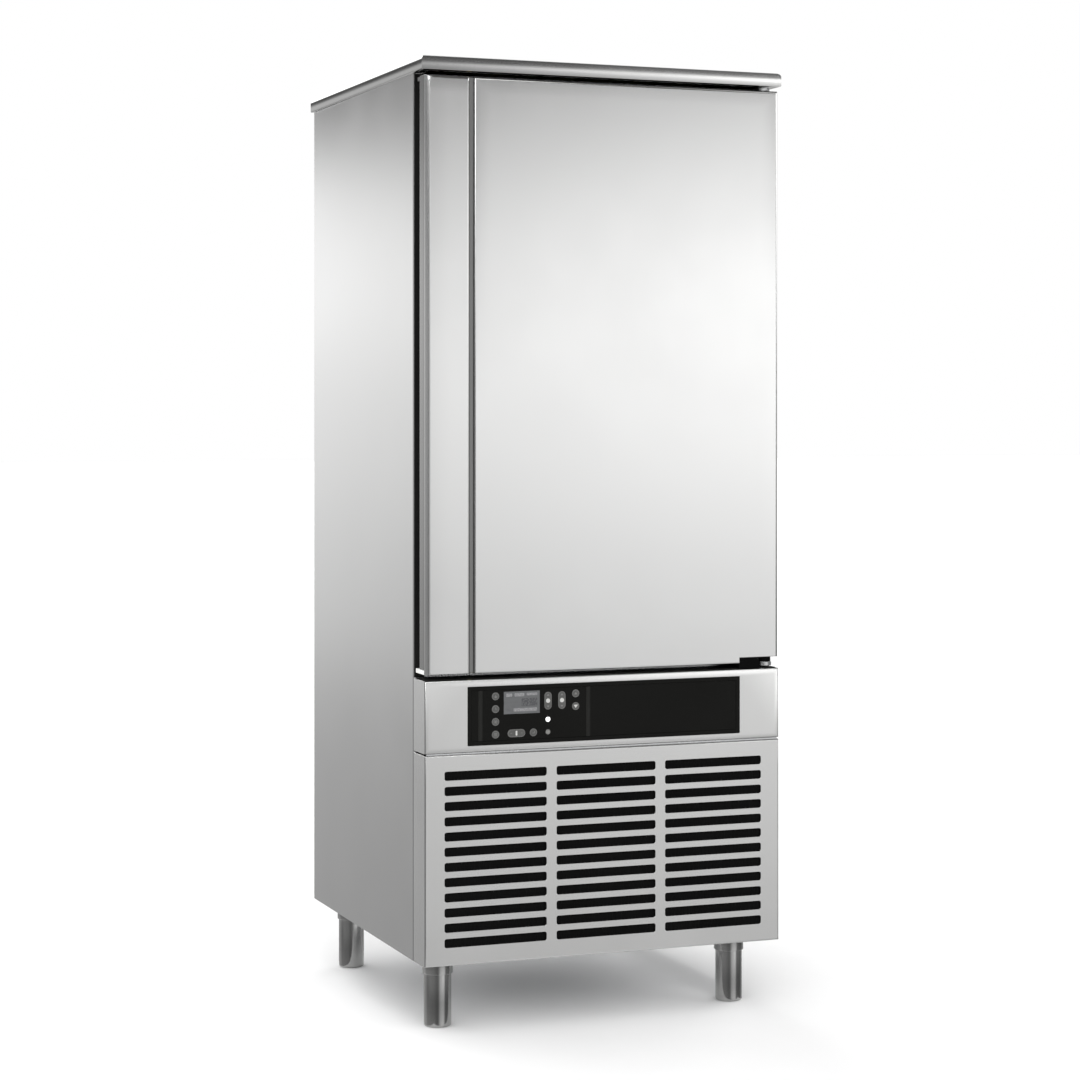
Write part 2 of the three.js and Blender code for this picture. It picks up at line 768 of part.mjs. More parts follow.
function doorHandle() {
  const yFloor = yFront + GROOVE_DEPTH;
  const beyond = box(xHandle, xDoor + 1, yFront - 1, yFrame, zDoor - 1, zDoorTop + 1);
  const shell = cut(doorBlock(0, yRecess), beyond);
  const inside = cut(
    doorBlock(SHEET, yRecess - SHEET),
    box(xHandle - SHEET, xDoor + 1, yFront - 1, yFrame, zDoor - 1, zDoorTop + 1),
  );
  const back = box(
    xRecess,
    xHandle + 1,
    yFloor + SHEET,
    yRecess + 1,
    zDoor + SHEET,
    zDoorTop - SHEET,
  );
  const ends = box(xHandle - SHEET, xHandle + 1, yFloor + SHEET, yFrame, zDoor - 1, zDoorTop + 1);
  const floor = box(
    xHandle - SHEET,
    xSkin + GROOVE_DEPTH,
    yFloor,
    yFloor + SHEET,
    zDoor + SHEET + FIT,
    zDoorTop - SHEET - FIT,
  );
  const recessWall = box(
    xRecess - SHEET,
    xRecess,
    yRecess - SHEET,
    yDoorSkin,
    zDoor + SHEET,
    zDoorTop - SHEET,
  );
  const flange = box(
    xRecess - RECESS_FLANGE,
    xRecess,
    yDoorSkin - SHEET,
    yDoorSkin,
    zDoor,
    zDoorTop,
  );
  const caps = [zDoor, zDoorTop - RECESS_CAP].map((z) =>
    box(-xDoor, xRecess, yRecess - SHEET, yDoorSkin, z, z + RECESS_CAP),
  );
  const body = join(cut(shell, inside, back, ends), floor, recessWall, flange, ...caps);
  return part("door_handle", body, steel);
}

function doorFoam() {
  const gap = SHEET + FIT;
  const recess = box(
    -xDoor - 1,
    xRecess + FIT,
    yRecess - gap,
    yFrame,
    zDoor - 1,
    zDoorTop + 1,
  );
  const groove = box(
    xHandle - gap,
    xSkin + GROOVE_DEPTH + FIT,
    yFront - 1,
    yFront + GROOVE_DEPTH + gap,
    zDoor - 1,
    zDoorTop + 1,
  );
  const block = cut(doorBlock(gap, yDoorSkin), notchBlock(gap), recess, groove, pinHoles());
  return part("door_foam", block, foam);
}

function doorLiner() {
  const front = yDoorBack - SHEET;
  const crease = xChamber - LINER_CREASE;
  const low = zChamber + LINER_CREASE;
  const high = zCeiling - LINER_CREASE;
  const plate = cut(
    box(
      xRecess - RECESS_FLANGE,
      xDoor - LINER_MARGIN,
      front,
      yDoorBack,
      zDoor + LINER_MARGIN,
      zDoorTop - LINER_MARGIN,
    ),
    notchBlock(LINER_MARGIN),
  );
  const field = box(-crease, crease, front, yDoorBack + LINER_RAISE, low, high);
  const hollow = box(
    -crease + SHEET,
    crease - SHEET,
    front - 1,
    yDoorBack + LINER_RAISE - SHEET,
    low + SHEET,
    high - SHEET,
  );
  return part("door_liner", cut(join(plate, field), hollow), steel);
}

// Three stepped rings: the base on the door liner, the bellows neck and the magnet head.
function doorGasket() {
  const ring = (inset, y0, y1) => {
    const near = GASKET_OFFSET + inset;
    const far = GASKET_OFFSET + GASKET_WIDTH - inset;
    const outer = box(-xChamber - far, xChamber + far, y0, y1, zChamber - far, zCeiling + far);
    const inner = box(
      -xChamber - near,
      xChamber + near,
      y0 - 1,
      y1 + 1,
      zChamber - near,
      zCeiling + near,
    );
    return cut(outer, inner);
  };
  const base = yDoorBack + FIT;
  const head = yFrame - FIT;
  const third = (head - base) / 3;
  return part(
    "door_gasket",
    join(
      ring(0, base, base + third),
      ring(GASKET_WIDTH / 5, base, head),
      ring(GASKET_WIDTH / 12, head - third, head),
    ),
    rubber,
  );
}

// Hinge plate with a round nose about the pin, flanged against the door frame.
function hingeBracket(name, z0, thickness, nose, pinTo, flangeTo) {
  const plan = new THREE.Shape();
  plan.moveTo(xPivot - nose, yFrame - FIT);
  plan.lineTo(xPivot - nose, yPivot);
  plan.absarc(xPivot, yPivot, nose, Math.PI, 2 * Math.PI, false);
  plan.lineTo(xPivot + nose, yFrame - FIT);
  const plate = prismZ(plan, z0, z0 + thickness, 8);
  const middle = z0 + thickness / 2;
  const pin = roundZ(xPivot, yPivot, PIN_RADIUS, Math.min(middle, pinTo), Math.max(middle, pinTo));
  const flange = box(
    xPivot - nose,
    xPivot + nose,
    yFrame - FIT - HINGE_FLANGE,
    yFrame - FIT,
    Math.min(middle, flangeTo),
    Math.max(middle, flangeTo),
  );
  return part(name, join(plate, pin, flange), steel);
}

function lowerHingeBush() {
  const low = zLowerPlate + LOWER_PLATE + FIT;
  const disc = roundZ(xPivot, yPivot, BUSH_RADIUS, low, zNotch - FIT, 24);
  const bore = roundZ(xPivot, yPivot, PIN_RADIUS + PIN_CLEARANCE, low - 1, zNotch);
  return part("lower_hinge_bush", cut(disc, bore), blackPlastic);
}

function doorCornerBlock() {
  const right = xPivot - LOWER_NOSE - 2 * FIT;
  const front = yFront + BLOCK_FRONT;
  const plan = rectangle(xNotch + FIT, right, front, front + BLOCK_DEPTH, [2, 2, 0, 0]);
  return part("door_corner_block", prismZ(plan, zDoor - BLOCK_DROP, zNotch - FIT), blackPlastic);
}

// ---------- control panel ----------

const xField = -PANEL_WIDTH / 2 + FIELD_PLACE;
const zPanel = zFascia + PANEL_RISE;
const yField = yFront + BEZEL_SINK;
const yPlateBack = yField + BEZEL_PLATE;
const yBoard = yPlateBack + FIT + KEY_FLANGE + KEY_TRAVEL + FIT;

// Every key: its place from the field's middle and the panel's lower edge, and its size.
function keyTable() {
  const diameter = 2 * KEY_RADIUS;
  const keys = [];
  for (let row = 0; row < 4; row++) {
    const z = LEFT_KEYS_Z + row * LEFT_KEYS_PITCH;
    keys.push({ name: `mode_key_${row + 1}`, x: LEFT_KEYS_X, z, width: diameter, height: diameter });
  }
  TALL_KEYS_X.forEach((x, i) => {
    const name = ["temperature_key", "time_key"][i];
    keys.push({ name, x, z: TALL_KEYS_Z, width: diameter, height: TALL_KEY_HEIGHT });
  });
  PAIR_KEYS_Z.forEach((z, i) => {
    const name = ["down_key", "up_key"][i];
    keys.push({ name, x: PAIR_KEYS_X, z, width: diameter, height: diameter });
  });
  keys.push({
    name: "start_key",
    x: START_KEY_X,
    z: LOW_KEYS_Z,
    width: START_KEY_WIDTH,
    height: diameter,
  });
  keys.push({ name: "enter_key", x: ENTER_KEY_X, z: LOW_KEYS_Z, width: diameter, height: diameter });
  return keys;
}

// A key's outline about a given middle, made larger all round by a distance.
function keyShape(key, x, z, grow) {
  const halfWidth = key.width / 2 + grow;
  const halfHeight = key.height / 2 + grow;
  const radii = evenRadii(Math.min(halfWidth, halfHeight));
  return rectangle(x - halfWidth, x + halfWidth, z - halfHeight, z + halfHeight, radii);
}

function controlBezel() {
  const half = PANEL_WIDTH / 2 - FIT;
  const low = zPanel + FIT;
  const high = zPanel + PANEL_HEIGHT - FIT;
  const back = yFront + BEZEL_DEPTH;
  const yFlange = yFront + SHEET + FIT;
  const shell = join(
    box(-half, half, yFront, back, low, high),
    box(
      -half - BEZEL_FLANGE,
      half + BEZEL_FLANGE,
      yFlange,
      yFlange + BEZEL_WALL,
      low - BEZEL_FLANGE,
      high + BEZEL_FLANGE,
    ),
  );
  const face = box(
    -half + BEZEL_RIM,
    half - BEZEL_RIM,
    yFront - 1,
    yField,
    low + BEZEL_RIM,
    high - BEZEL_RIM,
  );
  const rear = box(
    -half + BEZEL_WALL,
    half - BEZEL_WALL,
    yPlateBack,
    back + 1,
    low + BEZEL_WALL,
    high - BEZEL_WALL,
  );
  const rails = [-1, 1].map((side) => {
    const x = xField + (side * (FIELD_WIDTH - RAIL_WIDTH)) / 2;
    return box(
      x - RAIL_WIDTH / 2,
      x + RAIL_WIDTH / 2,
      yField - KEY_STAND / 2,
      yField + 1,
      low + BEZEL_RIM,
      high - BEZEL_RIM,
    );
  });
  const lamps = LAMPS_Z.map((z) =>
    roundY(xField + LAMP_X, zPanel + z, LAMP_RADIUS, yField - KEY_STAND / 2, yField + 1, 12),
  );
  const posts = [-1, 1].map((side) => {
    const x = xField + (side * (FIELD_WIDTH - RAIL_WIDTH)) / 2;
    const z = zPanel + PANEL_HEIGHT / 2;
    return roundY(x, z, RAIL_WIDTH / 2, yPlateBack - 1, yBoard - FIT, 12);
  });
  const keyHoles = keyTable().map((key) =>
    prismY(keyShape(key, xField + key.x, zPanel + key.z, FIT), yFront - 1, yPlateBack + 1),
  );
  const window = box(
    xField + DISPLAY_X - DISPLAY_WIDTH / 2 - FIT,
    xField + DISPLAY_X + DISPLAY_WIDTH / 2 + FIT,
    yFront - 1,
    yPlateBack + 1,
    zPanel + DISPLAY_Z - DISPLAY_HEIGHT / 2 - FIT,
    zPanel + DISPLAY_Z + DISPLAY_HEIGHT / 2 + FIT,
  );
  const moulding = join(cut(shell, face, rear), ...rails, ...lamps, ...posts);
  return part("control_bezel", cut(moulding, ...keyHoles, window), blackPlastic);
}

function displayWindow() {
  const x = xField + DISPLAY_X;
  const z = zPanel + DISPLAY_Z;
  const pane = box(
    x - DISPLAY_WIDTH / 2,
    x + DISPLAY_WIDTH / 2,
    yField - FIT,
    yBoard - FIT,
    z - DISPLAY_HEIGHT / 2,
    z + DISPLAY_HEIGHT / 2,
  );
  return part("display_window", pane, displayGlass);
}

function circuitBoard() {
  const half = FIELD_WIDTH / 2 + RAIL_WIDTH;
  const margin = BEZEL_RIM;
  const board = box(
    xField - half,
    xField + half,
    yBoard,
    yBoard + BOARD_THICKNESS,
    zPanel + margin,
    zPanel + PANEL_HEIGHT - margin,
  );
  return part("circuit_board", board, greenBoard);
}

function keys() {
  const group = new THREE.Group();
  group.position.set(xField, 0, zPanel);
  for (const key of keyTable()) {
    const back = yPlateBack + FIT;
    const cap = prismY(keyShape(key, 0, 0, 0), yField - KEY_STAND, back + KEY_FLANGE / 2);
    const halfWidth = key.width / 2 + KEY_FLANGE;
    const halfHeight = key.height / 2 + KEY_FLANGE;
    const flange = box(-halfWidth, halfWidth, back, back + KEY_FLANGE, -halfHeight, halfHeight);
    const mesh = part(key.name, join(cap, flange), keyGrey);
    mesh.position.set(key.x, 0, key.z);
    group.add(mesh);
  }
  return group;
}

// ---------- chamber ----------

function trayRack(name, side) {
  const front = yFrame + RACK_SETBACK;
  const low = zChamber + FIT + LINER_RADIUS;
  const span = zCeiling - zChamber - RUNNER_BOTTOM - RUNNER_TOP;
  const runners = Math.floor(span / RUNNER_PITCH) + 1;
  const high = zChamber + RUNNER_BOTTOM + (runners - 1) * RUNNER_PITCH + RACK_TOP;
  const post = sided(side, xRack, xChamber - FIT);
  const ledge = sided(side, xRack - RACK_LEDGE, xRack + RUNNER_SHEET);
  const pieces = [front, yRackBack - RACK_POST].map((y) =>
    box(...post, y, y + RACK_POST, low, high),
  );
  for (let i = 0; i < runners; i++) {
    const z = zChamber + RUNNER_BOTTOM + i * RUNNER_PITCH;
    pieces.push(box(...ledge, front, yRackBack, z, z + RUNNER_SHEET));
  }
  return part(name, join(...pieces), steel);
}

// The fans share the panel's height.
const fanHeights = Array.from(
  { length: FAN_COUNT },
  (_, i) => zFanPanel + ((i + 0.5) / FAN_COUNT) * (zFanPanelTop - zFanPanel),
);

function evaporatorPanel() {
  const back = yFanPanel + FAN_PANEL_DEPTH;
  const pan = cut(
    box(-xFanPanel, xFanPanel, yFanPanel, back, zFanPanel, zFanPanelTop),
    box(
      -xFanPanel + SHEET,
      xFanPanel - SHEET,
      yFanPanel + SHEET,
      back + 1,
      zFanPanel + SHEET,
      zFanPanelTop - SHEET,
    ),
  );
  const holes = fanHeights.map((z) =>
    roundY(0, z, fanHole, yFanPanel - 1, yFanPanel + SHEET + 1, 24),
  );
  const reach = LUG_THICKNESS * 3;
  const pins = [
    roundZ(xFanPivot, yFanPivot, LUG_PIN_RADIUS, zFanPanel - reach, zFanPanel + SHEET, 16),
    roundZ(xFanPivot, yFanPivot, LUG_PIN_RADIUS, zFanPanelTop - SHEET, zFanPanelTop + reach, 16),
  ];
  return part("evaporator_panel", join(cut(pan, ...holes), ...pins), steel);
}

// A comb of fins between two end plates, running in X, open towards the front.
function finBlock(x0, x1, y0, y1, z0, z1, fins) {
  const pitch = (x1 - x0) / fins;
  const points = [
    [x0, y1],
    [x0, y0],
  ];
  for (let i = 0; i < fins - 1; i++) {
    const left = x0 + (i + 0.5) * pitch;
    const right = left + pitch / 2;
    points.push([left, y0], [left, y0 + FIN_GROOVE], [right, y0 + FIN_GROOVE], [right, y0]);
  }
  points.push([x1, y0], [x1, y1]);
  return prismZ(outline(points), z0, z1);
}

function evaporatorCoil() {
  const low = zFanPanel - LUG_THICKNESS * 2;
  const high = zFanPanelTop + LUG_THICKNESS * 2;
  const block = finBlock(
    -xCoil - 1,
    xCoil + 1,
    yCoil,
    yCoil + COIL_DEPTH,
    zFanPanel + COIL_END,
    zFanPanelTop - COIL_END,
    COIL_FINS,
  );
  const plates = [
    box(-xCoil - END_PLATE, -xCoil, yCoil - FIT, yChamberBack - FIT, low, high),
    box(xCoil, xCoil + END_PLATE, yCoil - FIT, yChamberBack - FIT, low, high),
  ];
  const lugs = [low, high - LUG_THICKNESS].map((z) => {
    const left = xFanPivot - LUG_PIN_RADIUS * 3;
    const arm = box(left, xCoil + END_PLATE, yFanPanel, yCoil + END_PLATE, z, z + LUG_THICKNESS);
    const eye = roundZ(xFanPivot, yFanPivot, LUG_PIN_RADIUS + FIT, z - 1, z + LUG_THICKNESS + 1, 16);
    return cut(arm, eye);
  });
  return part("evaporator_coil", join(block, ...plates, ...lugs), aluminium);
}

function drainPlace() {
  return yCoil + COIL_DEPTH / 2;
}

function dripTray() {
  const half = xFanPanel + DRIP_TRAY_MARGIN;
  const front = yFanPanel;
  const back = yChamberBack - FIT;
  const low = zChamber + FIT;
  const pan = cut(
    box(-half, half, front, back, low, low + DRIP_TRAY_HEIGHT),
    box(
      -half + SHEET,
      half - SHEET,
      front + SHEET,
      back - SHEET,
      low + SHEET,
      low + DRIP_TRAY_HEIGHT + 1,
    ),
  );
  const spigot = roundZ(0, drainPlace(), DRAIN_RADIUS, low - DRAIN_LENGTH, low + SHEET);
  const bore = roundZ(0, drainPlace(), DRAIN_RADIUS - SHEET, low - DRAIN_LENGTH - 1, low + SHEET + 1);
  return part("drip_tray", cut(join(pan, spigot), bore), steel);
}

// ---------- fans ----------

// Both fans turn about a local Y axis; the plane they are fixed to is at y = 0 and the motor is on -Y.
function fanRotor() {
  const hub = roundY(0, 0, HUB_RADIUS, 1, 1 + HUB_LENGTH);
  const bore = roundY(0, 0, SHAFT_RADIUS + FIT, 0, 1 + SHAFT_LENGTH, 12);
  const middle = 1 + HUB_LENGTH / 2;
  const root = HUB_RADIUS * 0.8;
  const blade = new THREE.Shape();
  blade.moveTo(root, -FAN_CHORD * 0.25);
  blade.lineTo(FAN_RADIUS * 0.6, -FAN_CHORD * 0.5);
  blade.absarc(0, 0, FAN_RADIUS, -0.2, 0.26, false);
  blade.lineTo(root, FAN_CHORD * 0.25);
  const blades = [];
  for (let i = 0; i < FAN_BLADES; i++) {
    const flat = extrude(blade, BLADE_THICKNESS, 2).translate(0, 0, -BLADE_THICKNESS / 2);
    flat.rotateX(Math.PI / 2 + THREE.MathUtils.degToRad(FAN_PITCH));
    flat.rotateY((i * 2 * Math.PI) / FAN_BLADES);
    blades.push(solid(flat.translate(0, middle, 0)));
  }
  return cut(join(hub, ...blades), bore);
}

function fanMotor(reach) {
  const back = -2 - MOTOR_LENGTH;
  const inner = fanHole + FIT * 5;
  const outer = inner + GUARD_WIDTH;
  const yArm = -2 - 2 * GUARD_BAR;
  const pieces = [
    roundY(0, 0, MOTOR_RADIUS, back, -2),
    roundY(0, 0, SHAFT_RADIUS, -3, SHAFT_LENGTH, 12),
    cut(roundY(0, 0, outer, yArm, reach, 24), roundY(0, 0, inner, yArm - 1, reach + 1, 24)),
  ];
  for (const quarter of [1, 3]) {
    const arm = new THREE.BoxGeometry(2 * inner + 2, GUARD_BAR, 2 * GUARD_BAR);
    pieces.push(solid(arm.rotateY((quarter * Math.PI) / 4).translate(0, yArm + GUARD_BAR / 2, 0)));
  }
  return join(...pieces);
}

function evaporatorFans() {
  const group = new THREE.Group();
  const rotor = fanRotor();
  const motor = fanMotor(-FIT);
  fanHeights.forEach((z, i) => {
    const fan = new THREE.Group();
    const place = ["lower", "upper"][i];
    fan.position.set(0, yFanPanel, z);
    fan.add(part(`evaporator_fan_${place}`, rotor, aluminium));
    fan.add(part(`evaporator_motor_${place}`, motor, blackPaint));
    group.add(fan);
  });
  return group;
}

// ---------- refrigeration unit ----------

function condenserCoil() {
  const x0 = xCondenser;
  const x1 = xCondenserEnd;
  const y1 = yCondenser + CONDENSER_DEPTH;
  const top = zCondenser + CONDENSER_HEIGHT;
  const fins = finBlock(
    x0 + END_PLATE - 1,
    x1 - END_PLATE + 1,
    yCondenser,
    y1,
    zCondenser + END_PLATE,
    top - END_PLATE,
    CONDENSER_FINS,
  );
  const plates = [
    box(x0, x0 + END_PLATE, yCondenser - 1, y1, zCondenser, top),
    box(x1 - END_PLATE, x1, yCondenser - 1, y1, zCondenser, top),
  ];
  return part("condenser_coil", join(fins, ...plates), blackPaint);
}

const zCondenserFan = zCondenser + CONDENSER_HEIGHT / 2;
const xCondenserFan = (xCondenser + xCondenserEnd) / 2;

function condenserShroud() {
  const x1 = xCondenserEnd;
  const top = zCondenser + CONDENSER_HEIGHT;
  const back = yShroud + SHROUD_DEPTH;
  const pan = cut(
    box(xCondenser, x1, yShroud, back, zCondenser, top),
    box(
      xCondenser + SHEET,
      x1 - SHEET,
      yShroud - 1,
      back - SHEET,
      zCondenser + SHEET,
      top - SHEET,
    ),
  );
  const hole = roundY(xCondenserFan, zCondenserFan, fanHole, yShroud - 1, back + 1, 24);
  return part("condenser_shroud", cut(pan, hole), darkSteel);
}

// The condenser fan faces forward, so its motor is on the far side of the shroud.
function condenserFan() {
  const fan = new THREE.Group();
  fan.position.set(xCondenserFan, yShroud + SHROUD_DEPTH, zCondenserFan);
  fan.rotation.z = Math.PI;
  fan.add(part("condenser_fan", fanRotor(), aluminium));
  fan.add(part("condenser_motor", fanMotor(-FIT), blackPaint));
  return fan;
}

function compressor() {
  const low = COMPRESSOR_FOOT;
  const high = COMPRESSOR_HEIGHT;
  const r = COMPRESSOR_RADIUS;
  const shell = turned([
    [0, low],
    [r * 0.7, low],
    [r, low + r * 0.3],
    [r, high - r * 0.5],
    [r * 0.85, high - r * 0.17],
    [0, high],
    [0, low],
  ]);
  const plate = box(-r, r, -r, r, low, low + SHEET * 2);
  const feet = [-1, 1].flatMap((i) =>
    [-1, 1].map((j) => roundZ(i * r * 0.85, j * r * 0.85, r * 0.12, FIT, low + 1, 8)),
  );
  const stubX = xPipe - xCompressor;
  const suction = roundY(stubX, suctionHeight(), SUCTION_RADIUS + 3, 0, r + 20, 12);
  const discharge = roundY(-stubX, dischargeHeight(), LIQUID_RADIUS + 3, -r - 20, 0, 12);
  const body = join(shell, plate, ...feet, suction, discharge);
  const mesh = part("compressor", body, blackPaint);
  mesh.position.set(xCompressor, yCompressor, zTray);
  return mesh;
}

// Heights of the compressor's stubs over the base tray.
function suctionHeight() {
  return COMPRESSOR_HEIGHT * 0.4;
}

function dischargeHeight() {
  return COMPRESSOR_HEIGHT * 0.7;
}

// Receiver with the pipe that brings the liquid from the condenser's lower left corner.
function liquidReceiver() {
  const r = RECEIVER_RADIUS;
  const low = zTray + FIT;
  const high = low + RECEIVER_HEIGHT;
  const body = turned([
    [0, low],
    [r, low],
    [r, high - r * 0.4],
    [r * 0.8, high - r * 0.12],
    [0, high],
    [0, low],
  ], -xPipe, yReceiver);
  const z = zCondenser + CONDENSER_HEIGHT / 8;
  const y = yCondenser + CONDENSER_DEPTH / 2;
  const xRun = (xCondenser - xInner) / 2;
  const inlet = tube(
    [
      [xCondenser - FIT, y, z],
      [xRun, y, z],
      [xRun, yReceiver, z],
      [-xPipe, yReceiver, z],
    ],
    LIQUID_RADIUS,
  );
  const outlet = roundZ(-xPipe, yReceiver, LIQUID_RADIUS + 3, high - r * 0.3, high + 8, 8);
  return part("liquid_receiver", join(body, inlet, outlet), blackPaint);
}

function suctionPipe() {
  const z = zTray + suctionHeight();
  const zIn = zChamber + RISER_RISE;
  const pipe = tube(
    [
      [xPipe, yCompressor + COMPRESSOR_RADIUS + 20 + FIT, z],
      [xPipe, yPipe, z],
      [xPipe, yPipe, zIn],
      [xCoil + END_PLATE + FIT, yPipe, zIn],
    ],
    SUCTION_RADIUS,
  );
  return part("suction_pipe", pipe, copper);
}

// Liquid pipe with the filter drier in its level run.
function liquidPipe() {
  const start = zTray + FIT + RECEIVER_HEIGHT + 8 + FIT;
  const level = start + 2 * PIPE_BEND + DRIER_LENGTH / 4;
  const zIn = zChamber + RISER_RISE;
  const pipe = tube(
    [
      [-xPipe, yReceiver, start],
      [-xPipe, yReceiver, level],
      [-xPipe, yPipe, level],
      [-xPipe, yPipe, zIn],
      [-xCoil - END_PLATE - FIT, yPipe, zIn],
    ],
    LIQUID_RADIUS,
  );
  const middle = (yReceiver + yPipe) / 2;
  const drier = roundY(
    -xPipe,
    level,
    DRIER_RADIUS,
    middle - DRIER_LENGTH / 2,
    middle + DRIER_LENGTH / 2,
    16,
  );
  return part("liquid_pipe", join(pipe, drier), copper);
}

function dischargePipe() {
  const x = 2 * xCompressor - xPipe;
  const yStart = yCompressor - COMPRESSOR_RADIUS - 20 - FIT;
  const z = zTray + dischargeHeight();
  const yCoilMiddle = yCondenser + CONDENSER_DEPTH / 2;
  const zIn = zCondenser + CONDENSER_HEIGHT - PIPE_BEND;
  const pipe = tube(
    [
      [x, yStart, z],
      [x, yCoilMiddle, z],
      [x, yCoilMiddle, zIn],
      [xCondenserEnd + FIT, yCoilMiddle, zIn],
    ],
    LIQUID_RADIUS,
  );
  return part("discharge_pipe", pipe, copper);
}

function electricalBox() {
  const low = zTray + BOX_RISE;
  const half = BOX_WIDTH / 2;
  const back = yRearInner - FIT;
  const front = back - BOX_DEPTH;
  const body = box(-half, half, front, back, low, low + BOX_HEIGHT);
  const lid = box(
    -half - BOX_LID,
    half + BOX_LID,
    front - BOX_LID,
    front + BOX_LID,
    low - BOX_LID,
    low + BOX_HEIGHT + BOX_LID,
  );
  const socket = roundY(0, glandHeight(), GLAND_RADIUS + FIT, back - GLAND_NUT, back + 1);
  return part("electrical_box", cut(join(body, lid), socket), darkSteel);
}

function glandHeight() {
  return zTray + BOX_RISE + BOX_HEIGHT / 4;
}

// Mains inlet gland through the back panel, closed by its insert, no further out than the worktop.
function cableGland() {
  const z = glandHeight();
  const out = yRear + TOP_OVERHANG;
  const body = roundY(0, z, GLAND_RADIUS, yRearInner - FIT - GLAND_NUT + FIT, out);
  const nut = roundY(0, z, GLAND_NUT, yRear + FIT, out - 1, 6);
  const bore = roundY(0, z, GLAND_RADIUS * 0.6, yRear, out + 1);
  return part("cable_gland", cut(join(body, nut), bore), blackPlastic);
}

// ---------- assembly ----------

function assembly(...pieces) {
  const group = new THREE.Group();
  group.add(...pieces);
  return group;
}

const casing = assembly(
  sidePanel("side_panel_left", -1),
  sidePanel("side_panel_right", 1),
  backPanel(),
  worktop(),
  insulationBody(),
  chamberLiner(),
  frontFrame(),
  baseTray(),
  fascia(),
  frontGrille(),
);

const door = assembly(
  doorSkin(),
  doorHandle(),
  doorFoam(),
  doorLiner(),
  doorGasket(),
  doorCornerBlock(),
  lowerHingeBush(),
);

const hinges = assembly(
  hingeBracket(
    "lower_hinge_bracket",
    zLowerPlate,
    LOWER_PLATE,
    LOWER_NOSE,
    zNotch + PIN_LENGTH - 2,
    zLowerPlate + LOWER_PLATE + HINGE_FLANGE_HEIGHT,
  ),
  hingeBracket(
    "upper_hinge_bracket",
    zUpperPlate,
    UPPER_PLATE,
    UPPER_NOSE,
    zDoorTop - PIN_LENGTH + 2,
    zUpperPlate - HINGE_FLANGE_HEIGHT,
  ),
);

const controls = assembly(controlBezel(), displayWindow(), circuitBoard(), keys());

const chamber = assembly(
  trayRack("tray_rack_left", -1),
  trayRack("tray_rack_right", 1),
  evaporatorPanel(),
  evaporatorCoil(),
  dripTray(),
  evaporatorFans(),
);

const refrigeration = assembly(
  condenserCoil(),
  condenserShroud(),
  condenserFan(),
  compressor(),
  liquidReceiver(),
  suctionPipe(),
  liquidPipe(),
  dischargePipe(),
  electricalBox(),
  cableGland(),
);

const blastChiller = assembly(casing, legs(), door, hinges, controls, chamber, refrigeration);
blastChiller.name = "blast_chiller";

export default blastChiller;
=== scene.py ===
import bmesh
import bpy
import numpy as np
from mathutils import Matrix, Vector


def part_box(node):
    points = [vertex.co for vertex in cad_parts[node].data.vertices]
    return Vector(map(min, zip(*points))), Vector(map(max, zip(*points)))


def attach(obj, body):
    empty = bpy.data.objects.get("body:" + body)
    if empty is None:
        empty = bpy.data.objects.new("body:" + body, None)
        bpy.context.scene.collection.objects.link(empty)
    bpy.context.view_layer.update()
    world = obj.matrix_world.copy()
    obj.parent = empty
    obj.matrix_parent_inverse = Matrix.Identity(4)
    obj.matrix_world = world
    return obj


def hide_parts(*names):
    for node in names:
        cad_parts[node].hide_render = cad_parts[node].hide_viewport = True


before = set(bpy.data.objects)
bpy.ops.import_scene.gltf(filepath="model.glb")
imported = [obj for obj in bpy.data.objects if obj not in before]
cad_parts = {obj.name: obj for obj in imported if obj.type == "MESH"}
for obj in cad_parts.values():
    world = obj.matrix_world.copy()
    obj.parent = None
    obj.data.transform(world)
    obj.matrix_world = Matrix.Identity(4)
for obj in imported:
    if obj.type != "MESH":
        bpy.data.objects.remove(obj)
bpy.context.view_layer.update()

scene = bpy.context.scene

unit = 0.001  # pieces are drawn in millimetres
sheet = 1.5  # stainless sheet
sheetEdge = 0.3  # rounding of a cut edge
leastRadius = 0.05  # keeps the points of a sharp corner apart


# Mesh tools

def nodeBox(node):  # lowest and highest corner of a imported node, in millimetres
    low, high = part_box(node)
    return np.array(low) / unit, np.array(high) / unit


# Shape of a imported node: its points in millimetres and its triangles.
def packedShape(node):
    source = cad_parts[node]
    mesh = source.data
    mesh.calc_loop_triangles()
    points, corners = np.empty(len(mesh.vertices) * 3), np.empty(len(mesh.loop_triangles) * 3, int)
    mesh.vertices.foreach_get("co", points)
    mesh.loop_triangles.foreach_get("vertices", corners)
    turn = np.array(source.matrix_world)
    return (points.reshape(-1, 3) @ turn[:3, :3].T + turn[:3, 3]) / unit, corners.reshape(-1, 3)


# Quads between neighbouring rings: point j of ring i joins point j + 1 of ring i + 1.
def loft(rings, around=True):
    rings = np.asarray(rings, float)
    count, size = rings.shape[:2]
    i, j = np.meshgrid(np.arange(count - 1), np.arange(size if around else size - 1), indexing="ij")
    near, far = i * size + j, i * size + (j + 1) % size
    return rings.reshape(-1, 3), np.stack([near, far, far + size, near + size], -1).reshape(-1, 4)


# One flat face with the ring as its edge.
def fill(ring):
    return np.asarray(ring, float), np.arange(len(ring))[None]


# Rings joined by quads, with a flat face on the first and the last.
def closedLoft(rings):
    return [loft(rings), fill(rings[0]), fill(rings[-1])]


# Points in x and z set at the depth y.
def atDepth(flat, y):
    return np.insert(np.asarray(flat, float), 1, y, axis=1)


# A flat outline in x and z carried through the depths, with its two ends closed.
def slab(flat, depths):
    return closedLoft([atDepth(flat, y) for y in depths])


# A section in x and y carried straight up, with its two ends closed.
def standing(section, z):
    return closedLoft([np.column_stack([section, np.full(len(section), level)]) for level in z])


